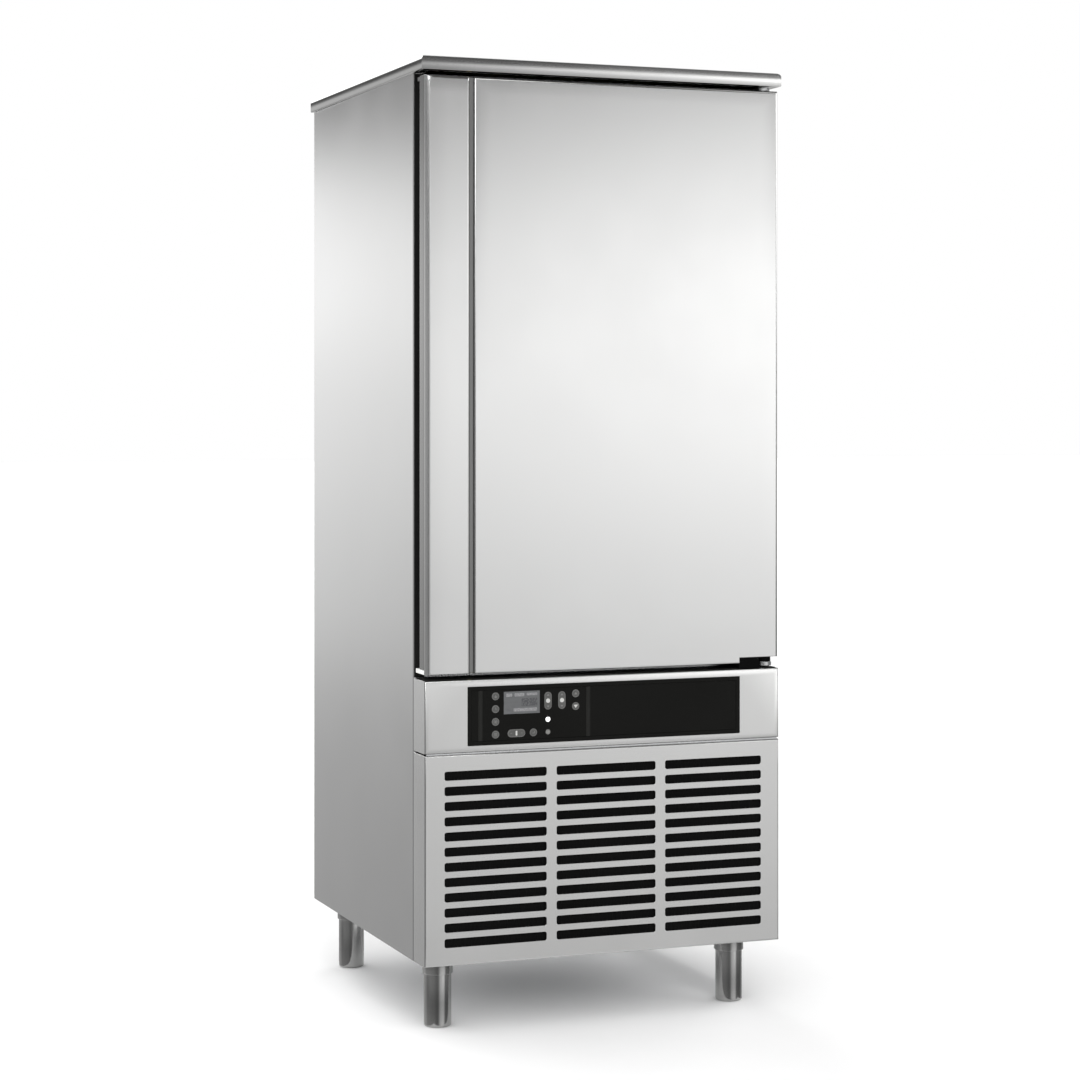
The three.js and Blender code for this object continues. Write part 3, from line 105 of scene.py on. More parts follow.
# Six flat faces between two corners.
def block(x, y, z):
    return standing([[x[0], y[0]], [x[1], y[0]], [x[1], y[1]], [x[0], y[1]]], z)


# All pairs of a value of the first row and one of the second.
def pairs(first, second):
    return np.stack(np.meshgrid(first, second, indexing="ij"), -1).reshape(-1, 2)


# Points on a wall, as x and z at the depth 0.
def onWall(first, second):
    return atDepth(pairs(first, second), 0.0)


# Rounded rectangle: corner centre + radius * (cos, sin), a quarter
# turn at each corner from the lower left on.
def roundedOutline(x, z, radius, perCorner=5):
    radii = np.broadcast_to(np.maximum(radius, leastRadius), 4)[:, None]
    side = np.array([[0, 0], [1, 0], [1, 1], [0, 1]])
    corner = np.where(side, [x[1], z[1]], [x[0], z[0]])
    centre = corner + np.where(side, -1, 1) * radii
    turn = np.pi + np.arange(4)[:, None] * np.pi / 2 + np.linspace(0, np.pi / 2, perCorner)[None]
    points = centre[:, None] + radii[:, None] * np.stack([np.cos(turn), np.sin(turn)], -1)
    return points.reshape(-1, 2)


# Circle: centre + radius * (cos, sin), started so that it has the same four quarters as a rounded rectangle.
def circleOutline(centre, radius, perCorner=6):
    x, z = centre
    return roundedOutline((x - radius, x + radius), (z - radius, z + radius), radius * 0.9999, perCorner)


# Rectangle with marks on its edges. Each point has its place, the inward way of the edges it lies on and
# their bends' radii: u, v, inward u, inward v, radius u, radius v. Radii run left, right, bottom, top.
def edgedOutline(u, v, radii, uMarks=(), vMarks=()):
    left, right, bottom, top = np.broadcast_to(np.asarray(radii, float), 4)
    rows = [[u[0], v[0], 1, 1, left, bottom]] + [[m, v[0], 0, 1, bottom, bottom] for m in uMarks]
    rows += [[u[1], v[0], -1, 1, right, bottom]] + [[u[1], m, -1, 0, right, right] for m in vMarks]
    rows += [[u[1], v[1], -1, -1, right, top]] + [[m, v[1], 0, -1, top, top] for m in uMarks[::-1]]
    rows += [[u[0], v[1], 1, -1, left, top]] + [[u[0], m, 1, 0, left, left] for m in vMarks[::-1]]
    return np.array(rows, float)


# Rings of a rectangle drawn in by each offset of a profile, at the depth that goes with it.
def drawnRings(x, z, profile):
    outline = edgedOutline(x, z, 0.0)
    return [atDepth(outline[:, :2] + inset * outline[:, 2:4], y) for inset, y in profile]


# Rings of a folded pan at rising depths: where a bend of radius r is at
# depth d, its edge is drawn in by r - sqrt(r^2 - (r - d)^2). They run from
# the face round the bends to the back edge, along the tail, and back inside.
def panRings(outline, depth, wall=sheet, tail=None, border=0.5, steps=8):
    largest = outline[:, 4:].max()

    def drawnIn(radius, d):
        short = np.clip(radius - d, 0, radius)
        return radius - np.sqrt(radius**2 - short**2)

    def ring(d, inner):
        radius = np.maximum(outline[:, 4:] - inner, leastRadius)
        inset = inner + drawnIn(radius, d - inner)
        return outline[:, :2] + outline[:, 2:4] * inset

    bends = largest * (1 - np.sin(np.linspace(np.pi / 2, 0, steps)))
    flat = outline[:, :2] + outline[:, 2:4] * (outline[:, 4:] + border)
    rows = [(flat, 0.0)] + [(ring(d, 0.0), d) for d in bends]
    rows += [(outline[:, :2] + outline[:, 2:4] * inset, d) for inset,
             d in (tail or [(0, depth), (wall, depth)])]
    rows += [(ring(max(d, wall), wall), max(d, wall)) for d in bends[::-1] if d > wall]
    rows += [(ring(wall, wall), wall), (flat, wall)]
    return np.array([atDepth(points, d) for points, d in rows])


# Flat sheet on a grid of lines with one hole in some cells: each side
# of the cell joins the near quarter of the hole.
def piercedFace(xLines, zLines, cells, holes, y):
    xLines, zLines = np.asarray(xLines, float), np.asarray(zLines, float)
    across, along = len(xLines), len(zLines)
    gridX, gridZ = np.meshgrid(xLines, zLines, indexing="ij")
    points = [np.column_stack([gridX.ravel(), gridZ.ravel()])]
    i, j = np.meshgrid(np.arange(across - 1), np.arange(along - 1), indexing="ij")
    corner = np.stack([i * along + j, (i + 1) * along + j, (i + 1) * along + j + 1, i * along + j + 1], -1)
    whole = np.ones((across - 1, along - 1), bool)
    faces = []
    if len(cells):
        cells, holes = np.asarray(cells), np.asarray(holes, float)
        whole[cells[:, 0], cells[:, 1]] = False
        size = holes.shape[1]
        quarter, middle = size // 4, size // 8
        first = across * along + np.arange(len(holes))[:, None] * size
        around = corner[cells[:, 0], cells[:, 1]]
        points.append(holes.reshape(-1, 2))
        for side in range(4):
            run = (np.arange((side + 1) * quarter + middle, side * quarter + middle - 1, -1)) % size
            ends = around[:, [side, (side + 1) % 4]]
            faces.append(np.hstack([ends, first + run[None]]))
    faces.append(corner[whole])
    points = np.vstack(points)
    placed = np.column_stack([points[:, 0], np.full(len(points), y), points[:, 1]])
    return [(placed, part) for part in faces if len(part)]


# Walls of the holes: the same outline at both faces of the sheet, joined by quads.
def holeWalls(holes, yFront, yBack):
    return [loft([atDepth(hole, y) for y in (yFront, yBack)]) for hole in holes]


# Bent sheet in section: the corners become arcs of the given outside
# radii, and the inside runs one sheet further in.
def bentSection(corners, radii, wall=sheet, steps=6):
    corners = np.asarray(corners, float)
    way = np.diff(corners, axis=0)
    way /= np.linalg.norm(way, axis=1, keepdims=True)
    inward = np.column_stack([-way[:, 1], way[:, 0]])
    outer, inner = [corners[0]], [corners[0] + wall * inward[0]]
    for k, radius in enumerate(radii, start=1):
        before, after = inward[k - 1], inward[k]
        turn = before[0] * after[1] - before[1] * after[0]  # over 0 where the sheet turns inwards
        reach = radius if turn > 0 else -(radius - wall)
        centre = corners[k] + reach * (before + after)
        start, end = np.arctan2(*(-np.sign(turn) * before)[::-1]), np.arctan2(*(-np.sign(turn) * after)[::-1])
        sweep = (end - start + np.pi) % (2 * np.pi) - np.pi
        a = start + np.linspace(0, 1, steps) * sweep
        ray = np.column_stack([np.cos(a), np.sin(a)])
        outer.append(centre + (radius if turn > 0 else radius - wall) * ray)
        inner.append(centre + (radius - wall if turn > 0 else radius) * ray)
    outer.append(corners[-1])
    inner.append(corners[-1] + wall * inward[-1])
    return np.vstack(outer + inner[::-1])


# Surface of revolution: r (cos a, sin a) about an axis, at the height h, for
# a profile of r and h. The centre is the point that the axis goes through,
# and the axis is z, or y where the turned piece lies along the depth.
def turned(profile, centre, sides=48, axis="z"):
    profile = np.asarray(profile, float)
    a = np.linspace(0, 2 * np.pi, sides, endpoint=False)
    first = centre[0] + profile[:, :1] * np.cos(a)
    second = centre[1] + profile[:, :1] * np.sin(a)
    height = np.broadcast_to(profile[:, 1:], first.shape)
    return loft(np.stack([first, second, height] if axis == "z" else [first, height, second], -1))


# Profile of a rod with flat ends, to be turned.
def rod(radius, low, high):
    return [[0, low], [radius, low], [radius, high], [0, high]]


# Profile of a ring with square edges, to be turned.
def squareRing(inner, outer, low, high):
    return [[inner, low], [outer, low], [outer, high], [inner, high], [inner, low]]


# Round arc between two directions, for the profile of a turned edge: centre + r (cos a, sin a).
def arc(centre, radius, start, end, steps=5):
    a = np.radians(np.linspace(start, end, steps))
    return np.column_stack([centre[0] + radius * np.cos(a), centre[1] + radius * np.sin(a)])


weld = 2e-6  # metres between points that are one


# Patches become one object: doubles merged, faces turned outwards, smooth but for edges over the angle. Each
# group of extra patches takes the next of the finishes.
def makePiece(name, patches, body, looks, replaced=None, softEdge=0.0, sharpAngle=32, extra=()):
    points, faces, slots, start = [], [], [], 0
    for which, group in enumerate([patches, *extra]):
        for patchPoints, patchFaces in group:
            points.append(patchPoints)
            faces += (np.asarray(patchFaces) + start).tolist()
            slots += [which] * len(patchFaces)
            start += len(patchPoints)
    mesh = bpy.data.meshes.new(name)
    mesh.from_pydata((np.vstack(points) * unit).tolist(), [], faces)
    mesh.polygons.foreach_set("material_index", slots)
    welded = bmesh.new()
    welded.from_mesh(mesh)
    bmesh.ops.remove_doubles(welded, verts=welded.verts, dist=weld)
    bmesh.ops.recalc_face_normals(welded, faces=welded.faces)
    welded.to_mesh(mesh)
    welded.free()
    mesh.shade_smooth()
    mesh.set_sharp_from_angle(angle=np.radians(sharpAngle))
    for finish in [looks] if isinstance(looks, str) else looks:
        mesh.materials.append(paint[finish])
    piece = bpy.data.objects.new(name, mesh)
    scene.collection.objects.link(piece)
    if softEdge:
        bevel = piece.modifiers.new("softEdge", "BEVEL")
        bevel.width = softEdge * unit
        bevel.segments = 2
        bevel.limit_method = "ANGLE"
        bevel.angle_limit = np.radians(40)
        bevel.harden_normals = True
    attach(piece, body)
    if replaced:
        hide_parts(replaced)
    return piece


# Finishes

# A node of one kind with its inputs set or linked, in one line.
def addNode(tree, kind, inputs=None, **settings):
    node = tree.nodes.new("ShaderNode" + kind)
    for key, value in settings.items():
        setattr(node, key, value)
    for key, value in (inputs or {}).items():
        if isinstance(value, bpy.types.NodeSocket):
            tree.links.new(value, node.inputs[key])
        else:
            node.inputs[key].default_value = value
    return node


# Noise stretched by the scale, as repeats per metre along each axis of the object.
def stretchedNoise(tree, scale, detail=3.0, turn=(0, 0, 0)):
    coords = addNode(tree, "TexCoord").outputs["Object"]
    placed = addNode(tree, "Mapping", {"Vector": coords, "Scale": scale, "Rotation": turn}).outputs["Vector"]
    return addNode(tree, "TexNoise", {"Vector": placed, "Scale": 1.0, "Detail": detail}).outputs["Fac"]


# The middle of the noise's spread taken to the given low and high value.
def spread(tree, value, low, high, start=0.3, end=0.7):
    inputs = {"Value": value, "From Min": start, "From Max": end, "To Min": low, "To Max": high}
    return addNode(tree, "MapRange", inputs).outputs["Result"]


# First * (1 - factor) + second * factor, or the blend's own rule. Each is a socket or a plain value.
def mixedColour(tree, factor, first, second, blend="MIX"):
    node = addNode(tree, "Mix", data_type="RGBA", blend_type=blend)
    if isinstance(factor, bpy.types.NodeSocket):
        tree.links.new(factor, node.inputs[0])
    else:
        node.inputs[0].default_value = factor
    for socket, value in ((node.inputs[6], first), (node.inputs[7], second)):
        if isinstance(value, bpy.types.NodeSocket):
            tree.links.new(value, socket)
        else:
            socket.default_value = (*value, 1)
    return node.outputs[2]


# Two near colours, the repeats of the grain per metre (along x, y and z, or one number for all), the
# roughness from and to, and the grain's height
metals = {
    "brushedUpright": ((0.575, 0.575, 0.572), (0.605, 0.605, 0.602), (1400, 1400, 9), (0.17, 0.22), 0.035),
    "brushedAcross": ((0.575, 0.575, 0.57), (0.6, 0.6, 0.595), (9, 1400, 1400), (0.18, 0.24), 0.035),
    # This row is the steel made darker: painted shade on the grip's side returns and on the top bends of the
    # door and the grip.
    "stripReturnShade": ((0.2, 0.2, 0.197), (0.24, 0.24, 0.236), (1400, 1400, 9), (0.2, 0.26), 0.03),
    # This row is the steel made lighter: painted light on the side returns of the fascia and the grille.
    "brushedReturnLit": ((0.62, 0.62, 0.615), (0.66, 0.66, 0.655), (1400, 9, 1400), (0.2, 0.26), 0.03),
    # These two rows are the steel made darker: painted shade on the worktop's edge faces. The first is also
    # ramped brighter to the right (painted light).
    "brushedEdgeShadeRamp": ((0.46, 0.46, 0.456), (0.49, 0.49, 0.486), (9, 1400, 1400), (0.18, 0.24), 0.03),
    "brushedDepthShade": ((0.15, 0.15, 0.147), (0.19, 0.19, 0.186), (900, 9, 900), (0.12, 0.18), 0.0),
    # This row is the steel made darker: painted shade in the grip's groove and at the top of its finger
    # recess.
    "grooveShadeSteel": ((0.17, 0.17, 0.168), (0.2, 0.2, 0.198), (1400, 1400, 9), (0.26, 0.34), 0.03),
    "plainSteel": ((0.52, 0.525, 0.53), (0.55, 0.555, 0.56), (700, 700, 30), (0.24, 0.29), 0.02),
    "legTube": ((0.38, 0.38, 0.375), (0.46, 0.46, 0.455), (30, 30, 2200), (0.13, 0.2), 0.03),
    "castAluminium": ((0.5, 0.51, 0.52), (0.6, 0.61, 0.62), 350, (0.32, 0.45), 0.08),
    "drawnCopper": ((0.62, 0.26, 0.12), (0.42, 0.17, 0.08), 45, (0.22, 0.38), 0.03),
}
# The same and the specular level
paintsAndPlastics = {
    "blackNylon": ((0.0025, 0.0025, 0.0025), (0.004, 0.004, 0.004), 900, (0.45, 0.6), 0.12, 0.02),
    # This pale nylon is on the grip's foot plug alone; its pale colour paints a highlight there (painted
    # highlight).
    "paleNylonHighlight": ((0.78, 0.78, 0.76), (0.84, 0.84, 0.82), 500, (0.4, 0.55), 0.05, 0.5),
    "gasketRubber": ((0.007, 0.007, 0.007), (0.013, 0.013, 0.012), 260, (0.6, 0.8), 0.1, 0.1),
    "rigidFoam": ((0.72, 0.6, 0.34), (0.82, 0.72, 0.47), 420, (0.8, 0.95), 0.5, 0.5),
    "enamelBlack": ((0.009, 0.0095, 0.01), (0.016, 0.016, 0.017), 240, (0.3, 0.42), 0.08, 0.5),
    "overlayBlack": ((0.0035, 0.0035, 0.003), (0.0055, 0.0055, 0.005), 500, (0.2, 0.27), 0.03, 0.07),
    "railBlack": ((0.009, 0.009, 0.008), (0.014, 0.014, 0.013), (700, 700, 40), (0.3, 0.4), 0.05, 0.12),
    "displayPane": ((0.085, 0.087, 0.09), (0.11, 0.112, 0.115), (60, 60, 160), (0.16, 0.22), 0.01, 0.3),
    "displayMark": ((0.17, 0.17, 0.175), (0.21, 0.21, 0.215), 300, (0.25, 0.3), 0.01, 0.5),
    "displayShade": ((0.05, 0.051, 0.054), (0.065, 0.066, 0.07), 300, (0.25, 0.3), 0.01, 0.5),
    "keyGrey": ((0.065, 0.065, 0.062), (0.082, 0.082, 0.079), 600, (0.36, 0.46), 0.05, 0.25),
    "keyLit": ((0.42, 0.42, 0.41), (0.52, 0.52, 0.5), 900, (0.4, 0.5), 0.02, 0.5),
    "keyPrint": ((0.13, 0.13, 0.127), (0.16, 0.16, 0.155), 900, (0.4, 0.5), 0.02, 0.5),
    "lampWhite": ((0.86, 0.87, 0.86), (0.95, 0.95, 0.94), 200, (0.2, 0.28), 0.01, 0.5),
    "lampDim": ((0.14, 0.14, 0.135), (0.2, 0.2, 0.19), 200, (0.2, 0.28), 0.01, 0.5),
    "drierBlue": ((0.02, 0.045, 0.13), (0.03, 0.06, 0.17), 240, (0.35, 0.5), 0.06, 0.5),
    "boardGreen": ((0.012, 0.11, 0.045), (0.02, 0.16, 0.07), 180, (0.3, 0.4), 0.05, 0.5),
    # This black is on the pad behind the grille's slots; it paints the shade inside the machine space (painted
    # shade).
    "filterBlack": ((0.0025, 0.0025, 0.0025), (0.005, 0.005, 0.005), 900, (0.9, 1.0), 0.2, 0.05),
    "floorPaint": ((0.9, 0.9, 0.9), (0.92, 0.92, 0.92), 0.7, (0.85, 0.95), 0.0, 0.0),
}
lamp = {"name": "lampWhite", "colour": (1, 1, 0.98, 1), "strength": 0.9}
# Painted shade and light on the worktop's front and back edge: its darker colour is multiplied by a ramp over
# x.
shaded = {"name": "brushedEdgeShadeRamp", "ramp": (0.6, 1.5, -0.39, 0.39)}  # brighter from the left to the right


# The two colours and the roughness range are mixed by half the sum of the grain and of wide soft patches, and
# the grain is raised. One finish glows, and one is multiplied by a ramp over x, which paints light on it:
# darker at the left, brighter at the right.
def makeFinish(name):
    metallic = name in metals
    row = metals[name] if metallic else paintsAndPlastics[name]
    first, second, repeats, roughness, height = row[:5]
    material = bpy.data.materials.new(name)
    material.use_nodes = True
    tree = material.node_tree
    shader = tree.nodes["Principled BSDF"]
    grain = stretchedNoise(tree, np.broadcast_to(float(repeats) if np.isscalar(repeats) else repeats, 3))
    patches = stretchedNoise(tree, (5.0, 5.0, 5.0), 2.0)
    both = addNode(tree, "Math", {0: grain, 1: patches}, operation="ADD").outputs[0]
    mixed = addNode(tree, "Math", {0: both, 1: 0.5}, operation="MULTIPLY").outputs[0]
    colour = mixedColour(tree, spread(tree, mixed, 0.0, 1.0), first, second)
    # Painted light: the colour is multiplied by a ramp over x, darker at the left and brighter at the right.
    if name == shaded["name"]:
        x = addNode(tree, "SeparateXYZ", {0: addNode(tree, "TexCoord").outputs["Object"]}).outputs[0]
        colour = mixedColour(tree, 1.0, colour, spread(tree, x, *shaded["ramp"]), "MULTIPLY")
    tree.links.new(colour, shader.inputs["Base Color"])
    tree.links.new(spread(tree, mixed, *roughness), shader.inputs["Roughness"])
    if height:
        bump = addNode(tree, "Bump", {"Height": grain, "Strength": height, "Distance": 0.0004})
        tree.links.new(bump.outputs["Normal"], shader.inputs["Normal"])
    shader.inputs["Metallic"].default_value = float(metallic)
    shader.inputs["Specular IOR Level"].default_value = 0.5 if metallic else row[5]
    if name == lamp["name"]:
        shader.inputs["Emission Color"].default_value = lamp["colour"]
        shader.inputs["Emission Strength"].default_value = lamp["strength"]
    return material


paint = {name: makeFinish(name) for name in [*metals, *paintsAndPlastics]}

zinc = {"perMetre": 55.0, "dark": (0.3, 0.31, 0.32), "light": (0.46, 0.47, 0.48), "roughness": (0.3, 0.5)}


# Hot-dip zinc: Voronoi cells, each with one random number that sets its grey and its gloss.
def makeZinc():
    material = bpy.data.materials.new("zincSpangle")
    material.use_nodes = True
    tree = material.node_tree
    shader = tree.nodes["Principled BSDF"]
    coords = addNode(tree, "TexCoord").outputs["Object"]
    cells = addNode(tree, "TexVoronoi", {"Vector": coords, "Scale": zinc["perMetre"]})
    grey = addNode(tree, "SeparateColor", {"Color": cells.outputs["Color"]}).outputs[0]
    tree.links.new(mixedColour(tree, grey, zinc["dark"], zinc["light"]), shader.inputs["Base Color"])
    tree.links.new(spread(tree, grey, *zinc["roughness"], 0.0, 1.0), shader.inputs["Roughness"])
    shader.inputs["Metallic"].default_value = 1.0
    return material


paint["zincSpangle"] = makeZinc()
print("finishes made:", len(paint))


# Studio
camera = {"place": (-2.0026, -5.2490, 1.2388), "heading": -20.965, "lens": 86.0, "sensor": 36.0,
          "shiftY": -0.1167, "near": 0.05, "far": 200.0}

lens = bpy.data.cameras.new("studioCamera")
lens.lens, lens.sensor_width, lens.shift_y = camera["lens"], camera["sensor"], camera["shiftY"]
lens.clip_start, lens.clip_end = camera["near"], camera["far"]
tripod = bpy.data.objects.new("studioCamera", lens)
tripod.location = camera["place"]
tripod.rotation_euler = np.radians([90.0, 0.0, camera["heading"]])
scene.collection.objects.link(tripod)
scene.camera = tripod

# Soft light all round. Each wall of light is a ramp of degrees above the horizon and brightness. The flags
# and the overhead's brightness are ramps over the bearing in degrees from straight ahead. The two overhead
# boxes leave a dark lane between them, in the plane that the front edges mirror.
studio = {
    "frontLeft": [(-90, 1.2), (-24, 1.1), (-13, 0.52), (-11.3, 0.69), (-9.4, 1.06), (-8.3, 1.08),
                  (-7.2, 0.93),
                  (-6, 0.88), (-5, 0.74), (-4, 0.88), (-1, 1.3), (2.5, 1.84), (5.5, 0.98), (8.5, 0.06)],
    "frontRight": [(-90, 1.2), (-24, 1.1), (-13, 0.45), (-11.3, 0.66), (-9.3, 0.98), (-6, 1.15), (-5, 0.9),
                   (-4, 1.12), (-1, 1.86), (3, 2.35), (6, 1.87), (8.5, 0.2)],
    "back": [(-90, 1.2), (-24, 0.9), (-12, 0.43), (-7, 0.51), (-4, 0.84), (0, 1.07), (2.8, 1.38), (4.8, 1.29),
             (6.5, 0.4), (7.2, 0.24), (9, 0.14)],
    "azimuths": (16.0, 29.0),  # where the front's left ramp gives way to its right one
    "corner": (17.0, 20.6),  # left of these azimuths the front's light also falls off upwards, as below
    "cornerFall": [(-90, 1.0), (3.6, 1.0), (5.2, 0.79), (6.4, 0.76), (7.2, 0.65), (9, 0.6), (90, 0.6)],
    "sides": (-0.35, 0.35),  # depths of the direction between which the front gives way to the back
    "flags": [(-180, 1.0), (-150, 1.0), (-132, 0.9), (-112, 0.5), (-60, 0.32), (-16, 0.19), (-9, 0.3),
              (4, 0.8), (14, 0.88), (19, 1.0), (36, 1.0), (48, 0.25), (94, 0.25), (112, 0.8), (180, 1.0)],
    "overhead": {"heights": (9.0, 17.0), "middle": 0.357, "lane": (0.12, 0.34), "dark": 0.17,
                 "rise": [(-90, 1.0), (8, 1.0), (15, 1.75), (24, 1.85), (34, 1.05), (44, 0.72), (90, 0.72)],
                 "bright": [(-180, 2.75), (-150, 1.8), (-110, 0.92), (-67, 1.05), (-35, 2.3), (-10, 3.3),
                            (22, 2.8),
                            (50, 1.55), (80, 1.2), (112, 1.6), (150, 2.9), (180, 2.75)]},
}


# Light = walls * flags below, overhead boxes above. Height is arcsin z and bearing arctan(x / -y) of the
# direction, and the camera itself sees plain white.
def makeStudio():
    world = bpy.data.worlds.new("studio")
    scene.world = world
    world.use_nodes = True
    tree = world.node_tree
    x, y, z = addNode(tree, "SeparateXYZ", {0: addNode(tree, "TexCoord").outputs["Generated"]}).outputs[:3]
    height = addNode(tree, "Math", {0: z}, operation="ARCSINE").outputs[0]
    ahead = addNode(tree, "Math", {0: y, 1: -1.0}, operation="MULTIPLY").outputs[0]
    bearing = addNode(tree, "Math", {0: x, 1: ahead}, operation="ARCTAN2").outputs[0]
    upright = spread(tree, height, 0.0, 1.0, -np.pi / 2, np.pi / 2)
    around = spread(tree, bearing, 0.0, 1.0, -np.pi, np.pi)

    def ramp(position, stops, reach):  # eased greys at degrees between - reach and reach
        node = addNode(tree, "ValToRGB", {"Fac": position})
        node.color_ramp.interpolation = "EASE"
        points = node.color_ramp.elements
        while len(points) < len(stops):
            points.new(0.5)
        for point, (degrees, level) in zip(points, stops):
            point.position = (degrees + reach) / (2 * reach)
            point.color = (level, level, level, 1)
        return node.outputs["Color"]

    def step(value, start, end):  # 0 before the start, 1 after the end, eased between them
        inputs = {"Value": value, "From Min": start, "From Max": end}
        return addNode(tree, "MapRange", inputs, interpolation_type="SMOOTHSTEP").outputs["Result"]

    left, right, back, cornerFall = (
        ramp(upright, studio[wall], 90) for wall in ("frontLeft", "frontRight", "back", "cornerFall"))
    front = mixedColour(tree, step(bearing, *np.radians(studio["azimuths"])), left, right)
    corner = mixedColour(tree, step(bearing, *np.radians(studio["corner"])), cornerFall, (1.0, 1.0, 1.0))
    front = mixedColour(tree, 1.0, front, corner, "MULTIPLY")
    walls = mixedColour(tree, step(y, *studio["sides"]), front, back)
    flagged = mixedColour(tree, 1.0, walls, ramp(around, studio["flags"], 180), "MULTIPLY")
    above = studio["overhead"]
    aside = addNode(tree, "Math", {0: x, 1: above["middle"]}, operation="SUBTRACT").outputs[0]
    aside = addNode(tree, "Math", {0: aside}, operation="ABSOLUTE").outputs[0]
    bright, rise = ramp(around, above["bright"], 180), ramp(upright, above["rise"], 90)
    boxLight = mixedColour(tree, 1.0, bright, rise, "MULTIPLY")
    boxes = mixedColour(tree, step(aside, *above["lane"]), (above["dark"],) * 3, boxLight)
    lit = mixedColour(tree, step(height, *np.radians(above["heights"])), flagged, boxes)
    seen = addNode(tree, "LightPath").outputs["Is Camera Ray"]
    tree.links.new(mixedColour(tree, seen, lit, (1.0, 1.0, 1.0)), tree.nodes["Background"].inputs["Color"])


makeStudio()
scene.view_settings.view_transform = "Standard"

floor = {"reach": 60.0, "level": -0.0005, "shade": ((-0.36, 0.36), (-0.33, 0.37)), "shadeLevel": -0.0002}


# One flat square in metres between two corners, laid under the object.
def makeGround(name, x, y, level):
    mesh = bpy.data.meshes.new(name)
    mesh.from_pydata([(x[i], y[j], level) for i, j in ((0, 0), (1, 0), (1, 1), (0, 1))], [], [(0, 1, 2, 3)])
    mesh.materials.append(paint["floorPaint"])
    ground = bpy.data.objects.new(name, mesh)
    scene.collection.objects.link(ground)
    return ground


# The floor, and the shaded ground under the cabinet, which the legs alone mirror.
def makeFloor():
    reach = (-floor["reach"], floor["reach"])
    makeGround("studioFloor", reach, reach, floor["level"]).visible_glossy = False
    shade = makeGround("studioShade", *floor["shade"], floor["shadeLevel"])
    shade.visible_camera = shade.visible_diffuse = shade.visible_shadow = False


makeFloor()
print("studio set")


# Casing
worktop = {"edgeRadius": 9.0, "hem": 25.0, "hemRadius": 1.5, "lean": (0.003, 0.012), "shadeFacing": (0.6, 1.1)}


# Faces that look a given way take another finish: those still in the first one, whose normal's share along
# that way lies within the bounds. Both ways counts the opposite faces too. The other finishes it lays are
# darker copies of the steel (painted shade) and, on the fascia's and grille's returns, a lighter one (painted
# light).
def finishFacing(piece, way=(1, 0, 0), finish=1, share=(0.95, 1.1), bothWays=True):
    faces = piece.data.polygons
    normals, finishes = np.empty(len(faces) * 3), np.empty(len(faces), int)
    faces.foreach_get("normal", normals)
    faces.foreach_get("material_index", finishes)
    along = normals.reshape(-1, 3) @ way
    along = np.abs(along) if bothWays else along
    finishes[(along > share[0]) & (along < share[1]) & (finishes == 0)] = finish
    faces.foreach_set("material_index", finishes)


# A pan with its face up: the rings of a folded pan with depth turned down, and a hem folded in under the
# edge. The edge leans inwards by lean * drop below its bend.
def makeWorktop():
    low, high = nodeBox("worktop")
    depth, hem, turn = high[2] - low[2], worktop["hem"], worktop["hemRadius"]
    outline = edgedOutline((low[0], high[0]), (low[1], high[1]), worktop["edgeRadius"])
    tail = [(0, depth - turn), (turn * 0.3, depth - turn * 0.3), (turn, depth), (hem, depth),
            (hem, depth - sheet), (sheet, depth - sheet)]
    rings = panRings(outline, depth, tail=tail)
    rings = np.stack([rings[..., 0], rings[..., 2], high[2] - rings[..., 1]], -1)
    drop = np.clip(high[2] - worktop["edgeRadius"] - rings[..., 2], 0, None)
    for axis, lean in enumerate(worktop["lean"]):
        rings[..., axis] -= np.sign(rings[..., axis]) * lean * drop
    # The edge faces take darker copies of the steel: painted shade on the ends, and on the front and back a
    # painted shade ramped brighter to the right.
    looks = ["brushedAcross", "brushedDepthShade", "brushedEdgeShadeRamp"]
    piece = makePiece("worktopPan", closedLoft(rings), "cabinet", looks, "worktop")
    finishFacing(piece, (1, 0, 0), 1, worktop["shadeFacing"])
    finishFacing(piece, (0, 1, 0), 2, worktop["shadeFacing"])


makeWorktop()

sidePanel = {"frontRadius": 6.0, "rearRadius": 3.0, "frontFlange": 20.0, "rearFlange": 15.0}


# A sheet bent in plan, outer corner to inner corner, carried up the whole side.
def makeSidePanel(node, side):
    low, high = nodeBox(node)
    outer = max(abs(low[0]), abs(high[0]))
    front, rear = sidePanel["frontFlange"] + sheet, sidePanel["rearFlange"] + sheet
    corners = [(rear - outer, high[1]), (-outer, high[1]), (-outer, low[1]), (front - outer, low[1])]
    section = bentSection(corners, [sidePanel["rearRadius"], sidePanel["frontRadius"]], steps=8)
    section[:, 0] *= -side
    name = "sidePanelRight" if side > 0 else "sidePanelLeft"
    patches = standing(section, (low[2], high[2]))
    makePiece(name, patches, "cabinet", "brushedUpright", node)


makeSidePanel("side_panel_left", -1)
makeSidePanel("side_panel_right", 1)

fascia = {"sideRadius": 3.0, "topRadius": 2.5, "border": 8.0, "lean": 0.085, "returnGap": 2.0,
          "windowX": 299.0, "windowZ": (577.0, 695.0), "windowRadius": 1.5, "lip": 16.0, "lipGap": 0.3,
          "frameFace": -328.0}


# Lip inside each side return, screwed to the side panel's flange.
def sideLips(x, z, yBack):
    patches = []
    end, z = x - sheet - fascia["lip"], (z[0] + sheet, z[1] - sheet)
    for side in (-1, 1):
        for start, y in ((x - sheet / 2, (yBack - sheet, yBack)),
                         (x - sheet, (yBack, fascia["frameFace"] - fascia["lipGap"]))):
            patches += block(sorted((side * end, side * start)), y, z)
    return patches


